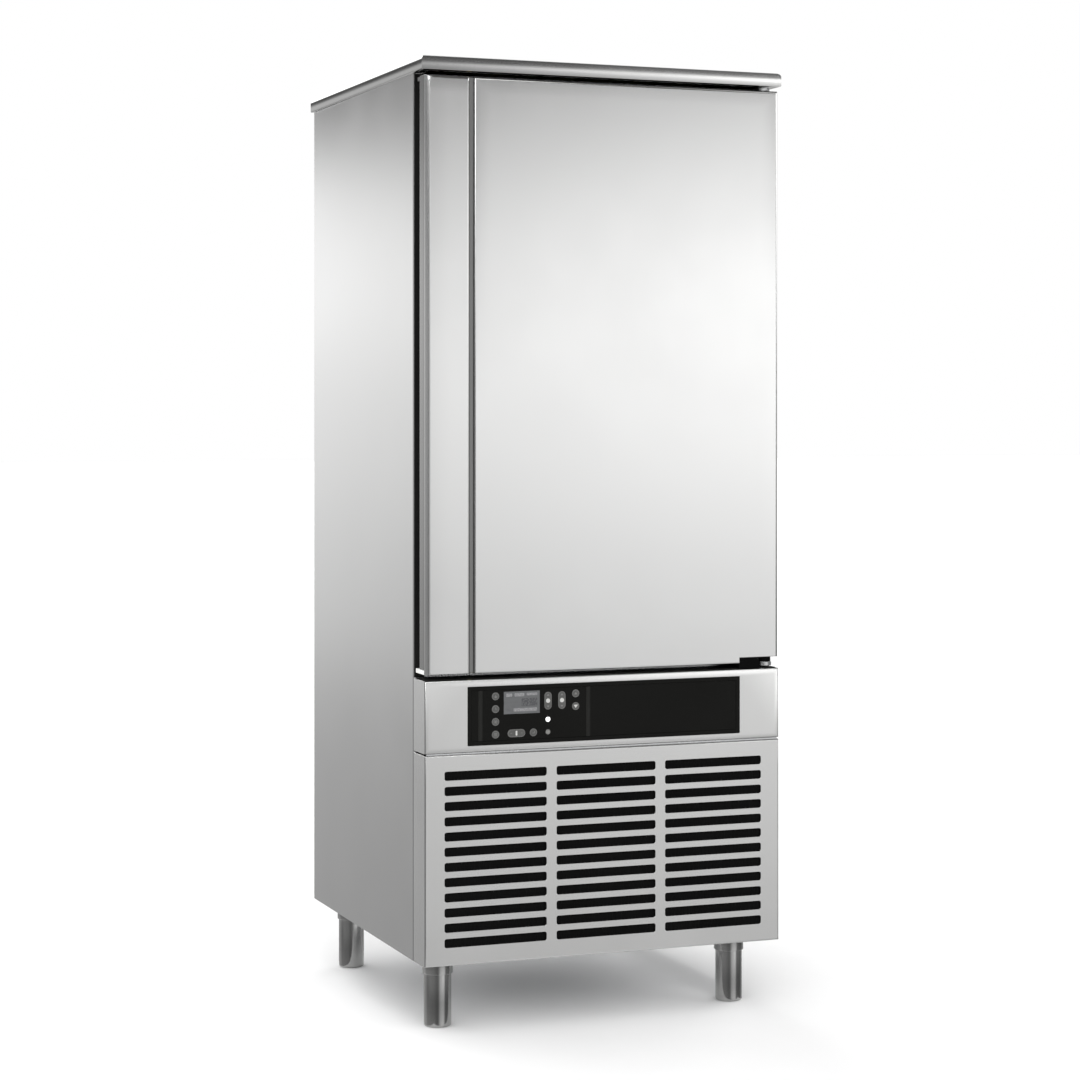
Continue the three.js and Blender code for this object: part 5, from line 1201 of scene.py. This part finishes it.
doorFrame = {"x": (-367.2, 367.2), "z": (710.0, 1921.7), "face": -328.0, "lipEnd": -306.5, "bend": 4.0}


# The frame's section carried round the opening: rings between the outer rectangle and the rounded opening,
# whose edge turns back on a quarter circle.
def makeDoorFrame():
    (x0, x1), (z0, z1) = chamber["x"], chamber["z"]
    face, end, bend = doorFrame["face"], doorFrame["lipEnd"], doorFrame["bend"]

    def opening(grow, y):
        flat = roundedOutline((x0 - grow, x1 + grow), (z0 - grow, z1 + grow), chamber["radius"] + grow, 7)
        return atDepth(flat, y)

    def turnBack(radius, angles):
        return [opening(bend - radius * np.sin(k), face + bend - radius * np.cos(k)) for k in angles]

    outside = roundedOutline(doorFrame["x"], doorFrame["z"], leastRadius, 7)
    a = np.linspace(0, np.pi / 2, 6)
    rings = [atDepth(outside, face + sheet), atDepth(outside, face), *turnBack(bend, a), opening(0, end),
             opening(sheet, end), *turnBack(bend - sheet, a[::-1]), atDepth(outside, face + sheet)]
    makePiece("doorFrame", [loft(rings)], "cabinet", "plainSteel", "front_frame")


makeDoorFrame()

rack = {"post": (300.0, 328.7), "postDepth": 15.0, "front": -300.0, "back": 100.0, "z": (793.8, 1789.5),
        "ledge": (278.0, 303.0), "upstand": 15.0, "bend": 2.5, "hem": (9.0, 3.0), "hemRadius": 1.55,
        "runner": 1.45, "lowest": 841.5, "pitch": 66.0, "count": 15, "softEdge": 0.25}


# Posts are bent channels open to the wall. A runner is one bent
# section carried along the depth: hem, ledge, upstand.
def makeRack(node, side):
    (inner, outer), depth, bend = rack["post"], rack["postDepth"], rack["bend"]
    patches = []
    for y in (rack["front"], rack["back"] - depth):
        corners = [(outer, y + depth), (inner, y + depth), (inner, y), (outer, y)]
        patches += standing(bentSection(corners, [bend, bend]), rack["z"])
    (hemEnd, wall), (hemWidth, hemRise), z = rack["ledge"], rack["hem"], rack["lowest"]
    small = rack["hemRadius"]
    corners = [(wall, z + rack["upstand"]), (wall, z), (hemEnd, z), (hemEnd, z + hemRise),
               (hemEnd + hemWidth, z + hemRise)]
    runner = slab(bentSection(corners, [bend, small, small], rack["runner"]), (rack["front"], rack["back"]))
    heights = rack["pitch"] * np.arange(rack["count"])
    patches += repeated(runner, np.column_stack([0 * heights, 0 * heights, heights]))
    patches = [(points * [side, 1, 1], faces) for points, faces in patches]
    name = "trayRackRight" if side > 0 else "trayRackLeft"
    makePiece(name, patches, "cabinet", "plainSteel", node, rack["softEdge"])


makeRack("tray_rack_left", -1)
makeRack("tray_rack_right", 1)

fanPanel = {"x": (-210.0, 210.0), "z": (849.5, 1799.5), "front": 130.0, "back": 185.0, "radius": 5.0,
            "fans": (1087.0, 1562.0), "hole": 156.0, "collar": 12.0, "pin": (202.0, 138.0), "pinRadius": 4.0,
            "pinEnds": ((840.5, 851.0), (1798.0, 1808.5)), "fastenerX": -196.0,
            "fastenerZ": (905.0, 1324.5, 1744.0), "head": 6.0,
            "dome": [(0.0, -2.6), (0.55, -2.5), (0.9, -1.6), (1.0, -0.4), (1.0, 0.3), (0.0, 0.3)]}


# Folded pan with round holes, each with a collar behind it.
def pannedHoles(look, middles, z, face, back, vMarks=()):
    r = look["hole"]
    holes = [circleOutline(middle, r, 17) for middle in middles]
    cells = [(0, row) for row in range(len(middles))]
    patches = piercedPan(look["x"], z, look["radius"], face, back, cells, holes, (), vMarks)
    collar = squareRing(r, r + sheet, face + 1, face + look["collar"])
    return patches + [turned(collar, middle, 64, "y") for middle in middles]


# The pan that carries the two fans, with its hinge pins and three turn
# fasteners: a dome, and a bar to turn it by.
def makeFanPanel():
    low, high = fanPanel["fans"]
    middles = [(0.0, z) for z in fanPanel["fans"]]
    patches = pannedHoles(fanPanel, middles, fanPanel["z"], fanPanel["front"], fanPanel["back"],
                          ((low + high) / 2,))
    patches += [turned(rod(fanPanel["pinRadius"], *ends), fanPanel["pin"],
                       24) for ends in fanPanel["pinEnds"]]
    x, front, head = fanPanel["fastenerX"], fanPanel["front"], fanPanel["head"]
    dome = np.array(fanPanel["dome"]) * [head, 1] + [0, front]
    fasteners = []
    for z in fanPanel["fastenerZ"]:
        fasteners.append(turned(dome, (x, z), 24, "y"))
        fasteners += block((x - head * 0.7, x + head * 0.7), (front - 2.9, front - 2.3), (z - 0.6, z + 0.6))
    makePiece("fanPanel", patches, "fan_panel", ["plainSteel", "legTube"],
              "evaporator_panel", sheetEdge, extra=(fasteners,))


makeFanPanel()
print("chamber made")

# Fans
fan = {"root": 29.0, "tip": 150.0, "halfChord": (21.0, 39.0), "pitch": (36.0, 20.0), "camber": 3.0,
       "sweep": 16.0, "thick": 2.2, "blades": 5, "middle": 14.0, "hub": 34.0, "hubEnds": (1.0, 27.0),
       "hubEdge": 5.0, "bore": (5.3, 20.0), "softEdge": 0.2}


# Blade: at the share s of its length and c of its half chord, it lies at the
# radius r, turned by sweep s^2 plus chord c cos(pitch) / r, and at the depth
# chord c sin(pitch) + camber (1 - c^2), with half its thickness to each side.
def fanRotor():
    s, c = np.meshgrid(np.linspace(0, 1, 11), np.linspace(-1, 1, 11), indexing="ij")

    def along(start, end):
        return start + (end - start) * s

    r, pitch = along(fan["root"], fan["tip"]), np.radians(along(*fan["pitch"]))
    chord = along(*fan["halfChord"]) * np.sqrt(1 - 0.3 * s**10)
    angle = np.radians(fan["sweep"]) * s**2 + chord * c * np.cos(pitch) / r
    depth = fan["middle"] + chord * c * np.sin(pitch) + fan["camber"] * (1 - c**2)
    half = fan["thick"] / 2 * (1 - 0.7 * c**4)
    upper, lower = (np.stack([r * np.sin(angle), y, r * np.cos(angle)], -1)
                    for y in (depth + half, depth - half))
    blade = closedLoft(np.concatenate([upper, lower[:, ::-1]], 1))
    patches = sum((rolled(blade, 360 * k / fan["blades"]) for k in range(fan["blades"])), [])
    (near, far), hub, (bore, boreEnd), edge = fan["hubEnds"], fan["hub"], fan["bore"], fan["hubEdge"]
    profile = np.vstack([[[bore, near], [hub - 0.8, near], [hub, near + 0.8]],
                         arc((hub - edge, far - edge), edge, 0, 90, 6),
                         [[16, far], [14, far - 1.5], [0, far - 1.5], [0, boreEnd], [bore, boreEnd],
                          [bore, near]]])
    return patches + [turned(profile, (0.0, 0.0), 48, "y")]


motor = {"radius": 38.0, "ends": (-22.0, -2.0), "ribs": 5, "ribDepth": 1.6, "shaft": (5.0, 20.0),
         "shaftStart": -3.0, "guard": (157.5, 169.5), "guardY": (-8.0, -0.3), "arm": (3.0, 6.0), "wire": 1.2,
         "wires": (58.0, 78.0, 98.0, 118.0, 138.0)}


# Ribbed can on its shaft, its wall in or out by the sign of a sine.
# Four arms, a flanged ring and wire rings guard it.
def fanMotor():
    (back, front), r, ribs, (shaft, tip) = motor["ends"], motor["radius"], motor["ribs"], motor["shaft"]
    h = np.linspace(back + 3, front - 2.5, 8 * ribs + 1)
    ribbed = np.sign(np.sin(2 * np.pi * ribs * (h - h[0]) / (h[-1] - h[0]) + 0.05))
    wall = np.column_stack([r - motor["ribDepth"] * (0.5 - 0.5 * ribbed), h])
    profile = np.vstack([[[0, back], [r - 9, back], [r - 4, back + 1], [r - 1.5, back + 2.2]], wall,
                         [[r - 1.5, front - 0.8], [r - 4, front], [0, front]]])
    axle = [[0, motor["shaftStart"]], [shaft, motor["shaftStart"]], [shaft, tip - 1], [shaft - 1, tip],
            [0, tip]]
    can = [turned(profile, (0.0, 0.0), 48, "y"), turned(axle, (0.0, 0.0), 20, "y")]
    (inner, outer), (y0, y1), (thick, wide) = motor["guard"], motor["guardY"], motor["arm"]
    ring = [[inner, y0 + 1], [inner + 1, y0], [inner + 3, y0], [inner + 3.4, y1 - 1.6], [outer, y1 - 1.6],
            [outer, y1], [inner, y1], [inner, y0 + 1]]
    arm = block((-inner - 1, inner + 1), (y0, y0 + thick), (-wide / 2, wide / 2))
    guard = [turned(ring, (0.0, 0.0), 72, "y")] + rolled(arm, 45) + rolled(arm, 135)
    guard += [wireRing(radius, y0 + thick + motor["wire"], motor["wire"]) for radius in motor["wires"]]
    return can, guard


fanSpots = [
    ("evaporatorFanLower", "evaporatorMotorLower", "evaporator_%s_lower", "fan_panel",
     (0.0, 130.0, 1087.0), 1),
    ("evaporatorFanUpper", "evaporatorMotorUpper", "evaporator_%s_upper", "fan_panel",
     (0.0, 130.0, 1562.0), 1),
    ("condenserFan", "condenserMotor", "condenser_%s", "cabinet", (-109.0, -199.7, 338.8), -1)]


# One rotor and one motor with its guard, set down three times. The condenser's are turned half round.
def makeFans():
    rotor = fanRotor()
    can, guard = fanMotor()
    for fanName, motorName, node, carrier, place, way in fanSpots:
        makePiece(fanName, placed(rotor, place, way), node % "fan", "castAluminium",
                  node % "fan", fan["softEdge"])
        makePiece(motorName, placed(can, place, way), carrier, ["enamelBlack"] * 2,
                  node % "motor", extra=(placed(guard, place, way),))


makeFans()
print("fans made")

coils = {"evaporatorCoil": {"node": "evaporator_coil", "half": (-206.7, 206.7), "finY": (200.0, 300.0),
                            "finZ": (864.5, 1784.5), "plateY": (199.7, 333.7), "plateZ": (843.5, 1805.5),
                            "columns": (216.0, 248.0, 280.0), "rowPitch": 38.0, "tube": 6.0,
                            "looks": ["castAluminium", "drawnCopper"], "slot": "aluminium_fin"},
         "condenserCoil": {"node": "condenser_coil", "half": (-306.0, 88.0), "finY": (-320.0, -240.0),
                           "finZ": (146.8, 530.8), "plateY": (-321.0, -240.0), "plateZ": (143.8, 533.8),
                           "columns": (-300.0, -260.0), "rowPitch": 24.0, "tube": 4.5,
                           "looks": ["enamelBlack", "drawnCopper"], "slot": "black_paint"}}
fins = {"pitch": 5.3, "thick": 0.3, "plate": 3.0}
lug = {"x": (191.0, 209.7), "back": 203.0, "z": ((843.5, 846.5), (1802.5, 1805.5)), "eye": (202.0, 138.0),
       "radii": (4.3, 7.7)}


# Thin fins at an even pitch between two end plates, and a tube for each column
# and level. Outside the plates, bends of half the levels' pitch join each tube
# to the next one. The evaporator's plate carries the eyes of the fan panel.
def makeCoil(name):
    look = coils[name]
    (x0, x1), (z0, z1), plate = look["half"], look["finZ"], fins["plate"]
    pitch, r = look["rowPitch"], look["tube"]
    count = int((x1 - x0) / fins["pitch"])
    across = x0 + (np.arange(count) + 0.5) * (x1 - x0) / count
    fin = block((-fins["thick"] / 2, fins["thick"] / 2), look["finY"], look["finZ"])
    patches = repeated(fin, np.column_stack([across, 0 * across, 0 * across]))
    for side in ((x0 - plate, x0), (x1, x1 + plate)):
        patches += block(side, look["plateY"], look["plateZ"])
    if name == "evaporatorCoil":
        inner, outer = lug["radii"]
        for ends in lug["z"]:
            patches += block(lug["x"], (lug["eye"][1] + outer * 0.8, lug["back"]), ends)
            patches.append(turned(squareRing(inner, outer, *ends), lug["eye"], 32))
    rows = int((z1 - z0) / pitch - 0.5)
    rows -= rows % 2
    heights = (z0 + z1) / 2 + (np.arange(rows) - (rows - 1) / 2) * pitch

    def spots(levels):  # one place for each column and level
        return np.insert(pairs(look["columns"], levels), 0, 0.0, axis=1)

    a = np.linspace(0, 2 * np.pi, 12, endpoint=False)
    ends = [np.column_stack([np.full(12, x), r * np.cos(a), r * np.sin(a)]) for x in (x0 - plate, x1 + plate)]
    tubes = repeated([loft(ends)], spots(heights))
    for x, way, first in ((x0 - plate, -1, 1), (x1 + plate, 1, 0)):
        reach = x + way * pitch / 2
        corners = [(x, 0, 0), (reach, 0, 0), (reach, 0, pitch), (x, 0, pitch)]
        turnBack = tubeAlong(corners, r, pitch / 2, 12, 6)
        tubes += repeated(turnBack, spots(heights[first:rows - 1:2]))
    makePiece(name, patches, "cabinet", look["looks"], look["node"], extra=(tubes,))


for coilName in coils:
    makeCoil(coilName)

dripTray = {"x": (-215.0, 215.0), "y": (130.0, 333.7), "z": (781.8, 806.8), "radius": 3.0,
            "drain": (0.0, 250.0), "spigot": (8.5, 10.0), "spigotEnd": 671.8, "strainer": 15.0}


# A pan with its face down: depth is turned up. The spigot is a turned
# pipe, with a low domed strainer over it.
def makeDripTray():
    low, high = dripTray["z"]
    rings = panRings(edgedOutline(dripTray["x"], dripTray["y"], dripTray["radius"]), high - low)
    rings = np.stack([rings[..., 0], rings[..., 2], low + rings[..., 1]], -1)
    spigot = squareRing(*dripTray["spigot"], dripTray["spigotEnd"], low + 1)
    r, top = dripTray["strainer"], low + sheet
    dome = [[0, top + 4], [r * 0.5, top + 3.2], [r * 0.85, top + 1.6], [r, top - 0.2], [0, top - 0.2]]
    patches = closedLoft(rings) + [turned(profile, dripTray["drain"], 32) for profile in (spigot, dome)]
    makePiece("dripTray", patches, "cabinet", "plainSteel", "drip_tray", sheetEdge)


makeDripTray()
print("coils made")

# Refrigeration unit
shroud = {"x": (-309.0, 91.0), "z": (143.8, 533.8), "face": -199.7, "front": -239.7, "radius": 6.0,
          "hole": 156.0, "collar": 10.0}


# The fan panel's kind of pan, turned to face backwards: it is made on the front side and mirrored in y.
def makeShroud():
    middle = (sum(shroud["x"]) / 2, sum(shroud["z"]) / 2)
    patches = pannedHoles(shroud, [middle], shroud["z"], -shroud["face"], -shroud["front"])
    patches = [(points * [1, -1, 1], faces) for points, faces in patches]
    makePiece("condenserShroud", patches, "cabinet", "zincSpangle", "condenser_shroud",
              sheetEdge)


makeShroud()

compressor = {"place": (215.0, -60.0), "base": 143.8, "low": 161.5, "high": 473.5, "radius": 112.0,
              "bowl": (30.0, 33.0), "dome": 62.0, "seam": (3.0, 7.0), "seamRise": 30.0, "foot": (97.75, 13.8),
              "plate": 3.0, "corner": 20.0, "bolt": [(0, 2), (9, 2), (9, 8), (5, 8), (5, 14), (0, 14)],
              "stubs": ((250.0, 75.0, 275.5, 12.0), (180.0, -195.0, 374.5, 9.0)),
              "box": ((168.0, 218.0), (330.0, 400.0)), "boxY": (40.0, 66.0), "softEdge": 0.5}


# Pressed shell turned about its axis: a shallow bowl below, a straight wall with
# a welded seam, and above it a dome, r cos a out and dome sin a up. It stands on
# a plate with four rubber feet and carries pipe stubs and a terminal box.
def makeCompressor():
    (x, y), low, r, base = compressor["place"], compressor["low"], compressor["radius"], compressor["base"]
    (proud, tall), (bowl, bowlRise) = compressor["seam"], compressor["bowl"]
    a, springing = np.linspace(0.0, np.pi / 2, 14), compressor["high"] - compressor["dome"]
    seamZ = (low + compressor["high"]) / 2 + compressor["seamRise"]
    profile = np.vstack([[[0, low + 3]], arc((r - bowl, low + bowlRise), bowl, -90, 0, 8),
                         [[r, seamZ - tall], [r + proud, seamZ - tall + 2], [r + proud, seamZ + tall - 2],
                          [r, seamZ + tall]], np.column_stack([r * np.cos(a),
                                                               springing + compressor["dome"] * np.sin(a)])])
    outward, foot = compressor["foot"]
    half = outward + foot
    plate = roundedOutline((x - half, x + half), (y - half, y + half), compressor["corner"], 6)
    patches = [turned(profile, (x, y), 64)] + standing(plate, (low, low + compressor["plate"]))
    rubber = [[0, base], [foot, base], [foot, base + 7], [foot - 3, base + 9], [foot - 1, base + 11],
              [foot - 1, low + 0.5], [0, low + 0.5]]
    places = pairs((-outward, outward), (-outward, outward)) + [x, y]
    patches += [turned(np.array(compressor["bolt"]) + [0, low], place, 6) for place in places]
    for stubX, stubY, z, stubRadius in compressor["stubs"]:
        patches += tubeAlong([(stubX, y, z), (stubX, stubY, z)], stubRadius, 1.0, 24)
    cover = slab(roundedOutline(*compressor["box"], 6.0, 5), compressor["boxY"])
    makePiece("compressorShell", patches, "cabinet", ["enamelBlack", "gasketRubber", "blackNylon"],
              "compressor", compressor["softEdge"],
              extra=([turned(rubber, place, 28) for place in places], cover))


makeCompressor()

receiver = {"place": (-250.0, 80.0), "low": 143.8, "high": 403.8, "radius": 55.0, "dome": 24.0, "bowl": 34.0,
            "seam": (120.0, 132.0), "outlet": (9.0, 389.8, 411.8), "pipe": 6.0, "bend": 28.0,
            "foot": (40.0, 12.0), "inlet": ((-309.3, -280.0, 192.5), (-348.2, -280.0, 192.5),
                                            (-348.2, 80.0, 192.5), (-250.0, 80.0, 192.5))}


# Turned shell: a wall with a weld between a dome, R cos a out and dome sin a up, and a bowl of the same
# curve. A flared foot ring carries it, and its inlet pipe comes from the condenser.
def makeReceiver():
    low, r, place, dome = receiver["low"], receiver["radius"], receiver["place"], receiver["dome"]
    a, (seamLow, seamHigh) = np.linspace(0.0, np.pi / 2, 9), np.add(receiver["seam"], low)
    top = np.column_stack([r * np.cos(a), receiver["high"] - dome + dome * np.sin(a)])
    bowl = np.column_stack([r * np.sin(a[1:]), low + receiver["bowl"] - dome * np.cos(a[1:])])
    shell = np.vstack([[[0, low + receiver["bowl"] - dome]], bowl,
                       [[r, seamLow], [r + 1.2, seamLow + 2], [r + 1.2, seamHigh - 2], [r, seamHigh]], top])
    ring, tall = receiver["foot"]
    stand = [[ring - 3, low], [ring, low], [ring + 3, low + tall + 4], [ring, low + tall + 4],
             [ring - 3, low]]
    patches = [turned(shell, place, 56), turned(stand, place, 48), turned(rod(*receiver["outlet"]), place, 6)]
    patches += tubeAlong(receiver["inlet"], receiver["pipe"], receiver["bend"])
    makePiece("liquidReceiver", patches, "cabinet", "enamelBlack", "liquid_receiver",
              sheetEdge)


makeReceiver()

pipes = {"suctionPipe": {"node": "suction_pipe", "radius": 9.0,
                         "way": ((250, 75.3, 275.5), (250, 300, 275.5), (250, 300, 871.5),
                                 (210, 300, 871.5))},
         "liquidPipe": {"node": "liquid_pipe", "radius": 6.0,
                        "way": ((-250, 80, 412.1), (-250, 80, 495.6), (-250, 300, 495.6), (-250, 300, 871.5),
                                (-210, 300, 871.5))},
         "dischargePipe": {"node": "discharge_pipe", "radius": 6.0,
                           "way": ((180, -195.3, 374.5), (180, -280, 374.5), (180, -280, 505.8),
                                   (91.3, -280, 505.8))}}
pipeBend = 27.0
sockets = {"length": 16.0, "wall": 1.2}
drier = {"pipe": "liquidPipe", "middle": (-250.0, 190.0, 495.6),
         "half": [(20.0, 34.0), (18.0, 38.0), (9.0, 45.0), (9.0, 55.0), (0.0, 55.0)]}  # radius and length


# Copper tubes with a wider soldered socket at each end, and the drier
# turned about the liquid pipe's level run.
def makePipes():
    x, y, z = drier["middle"]
    half = np.array(drier["half"])
    filterCan = turned(np.vstack([half[::-1] * [1, -1], half]) + [0, y], (x, z), 40, "y")
    for name, look in pipes.items():
        way, r = np.asarray(look["way"], float), look["radius"]
        patches = tubeAlong(way, r, pipeBend, 20, 9)
        for end, beside in ((way[0], way[1]), (way[-1], way[-2])):
            along = (beside - end) / np.linalg.norm(beside - end)
            patches += tubeAlong([end, end + along * sockets["length"]], r + sockets["wall"], 1.0, 20)
        makePiece(name, patches, "cabinet", ["drawnCopper", "drierBlue"], look["node"],
                  extra=([filterCan],) if name == drier["pipe"] else ())


makePipes()

grommets = {"pipes": ((250.0, 300.0, 9.0), (-250.0, 300.0, 6.0)), "floor": 781.5,
            "profile": [(0.1, -1.4), (7, -1.4), (7, 1), (4.5, 3.2), (1.2, 3.6), (0.1, 2.6), (0.1, -1.4)]}
electrics = {"body": ((-120.0, 120.0), (443.5, 673.5)), "bodyY": (302.2, 392.2),
             "lid": ((-124.0, 124.0), (439.5, 677.5)), "lidY": (298.2, 306.2), "radius": 4.0, "softEdge": 0.5,
             "screwX": (-112.0, 112.0), "screwZ": (451.5, 665.5),
             "screw": [(0.0, -2.2), (2.7, -2.0), (4.5, -0.6), (4.5, 0.2), (0.0, 0.2)]}
gland = {"place": (0.0, 501.0), "end": 400.0,
         "body": [(0, -22), (10, -22), (10, -2), (9.4, -1.2), (8, 0), (6, 0), (6, -4), (0, -4)],
         "nut": [(0, -5.7), (14, -5.7), (15, -4.9), (15, -2.2), (13.5, -1), (0, -1)],
         "seal": [(0, -4.2), (6.1, -4.2), (4.8, -1.6), (0, -1)]}


# Rubber grommets round the pipes where they pass the chamber's floor, turned.
def makeGrommets():
    profile = np.array(grommets["profile"])
    collars = [turned(profile + [r, grommets["floor"]], (x, y), 32) for x, y, r in grommets["pipes"]]
    makePiece("pipeGrommets", collars, "cabinet", "gasketRubber")


# Box and lid with rounded corners and four turned screws. Then the
# gland at the back: body, nut and seal, turned.
def makeElectrics():
    radius, front = electrics["radius"], electrics["lidY"][0]
    patches = []
    for part in ("body", "lid"):
        patches += slab(roundedOutline(*electrics[part], radius, 5), electrics[part + "Y"])
    screw = np.array(electrics["screw"]) + [0, front]
    screws = [turned(screw, place, 20, "y") for place in pairs(electrics["screwX"], electrics["screwZ"])]
    makePiece("electricalBox", patches, "cabinet", ["zincSpangle", "legTube"], "electrical_box",
              electrics["softEdge"], extra=(screws,))
    body, nut, seal = (turned(np.array(gland[part]) + [0, gland["end"]], gland["place"], sides, "y")
                       for part, sides in (("body", 40), ("nut", 6), ("seal", 28)))
    makePiece("cableGland", [body, nut], "cabinet", ["blackNylon", "gasketRubber"],
              "cable_gland", sheetEdge, extra=([seal],))


makeGrommets()
makeElectrics()

rearScrews = {"x": (-364.0, 0.0, 364.0), "z": (160.0, 420.0, 720.0, 1020.0, 1320.0, 1620.0, 1905.0),
              "head": 4.6, "face": 394.0, "rise": 2.4, "rim": 0.5, "bar": (2.2, 0.45)}


# Pan heads, h = rim + (rise - rim) * (1 - (r / head)^2) over the
# sheet. The cross recess is not cut: two dark bars laid on the head paint its shade (painted shade).
def makeRearScrews():
    face, rise, head, rim, (long, wide) = (rearScrews[key] for key in ("face", "rise", "head", "rim", "bar"))
    r = np.linspace(0, head, 6)
    dome = np.column_stack([r, face + rim + (rise - rim) * (1 - (r / head) ** 2)])
    profile = np.vstack([dome, [[head, face - 0.2], [0, face - 0.2]]])
    spots = onWall(rearScrews["x"], rearScrews["z"])
    # The two dark bars on the head paint the cross recess's shade (painted shade).
    bar = block((-long, long), (face + rise - 0.5, face + rise + 0.05), (-wide, wide))
    makePiece("rearScrews", repeated([turned(profile, (0.0, 0.0), 16, "y")], spots), "cabinet",
              ["legTube", "blackNylon"],
              extra=(repeated(bar, spots) + repeated(rolled(bar, 90), spots),))


makeRearScrews()
print("refrigeration unit made")

kept = {"insulation_body": "rigidFoam", "base_tray": "zincSpangle", "circuit_board": "boardGreen"}


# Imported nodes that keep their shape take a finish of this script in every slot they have, or in a first one.
def dressKept():
    for node, look in kept.items():
        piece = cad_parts[node]
        if not piece.material_slots:
            piece.data.materials.append(paint[look])
        for slot in piece.material_slots:
            slot.material = paint[look]


dressKept()
print("kept nodes dressed:", len(kept))
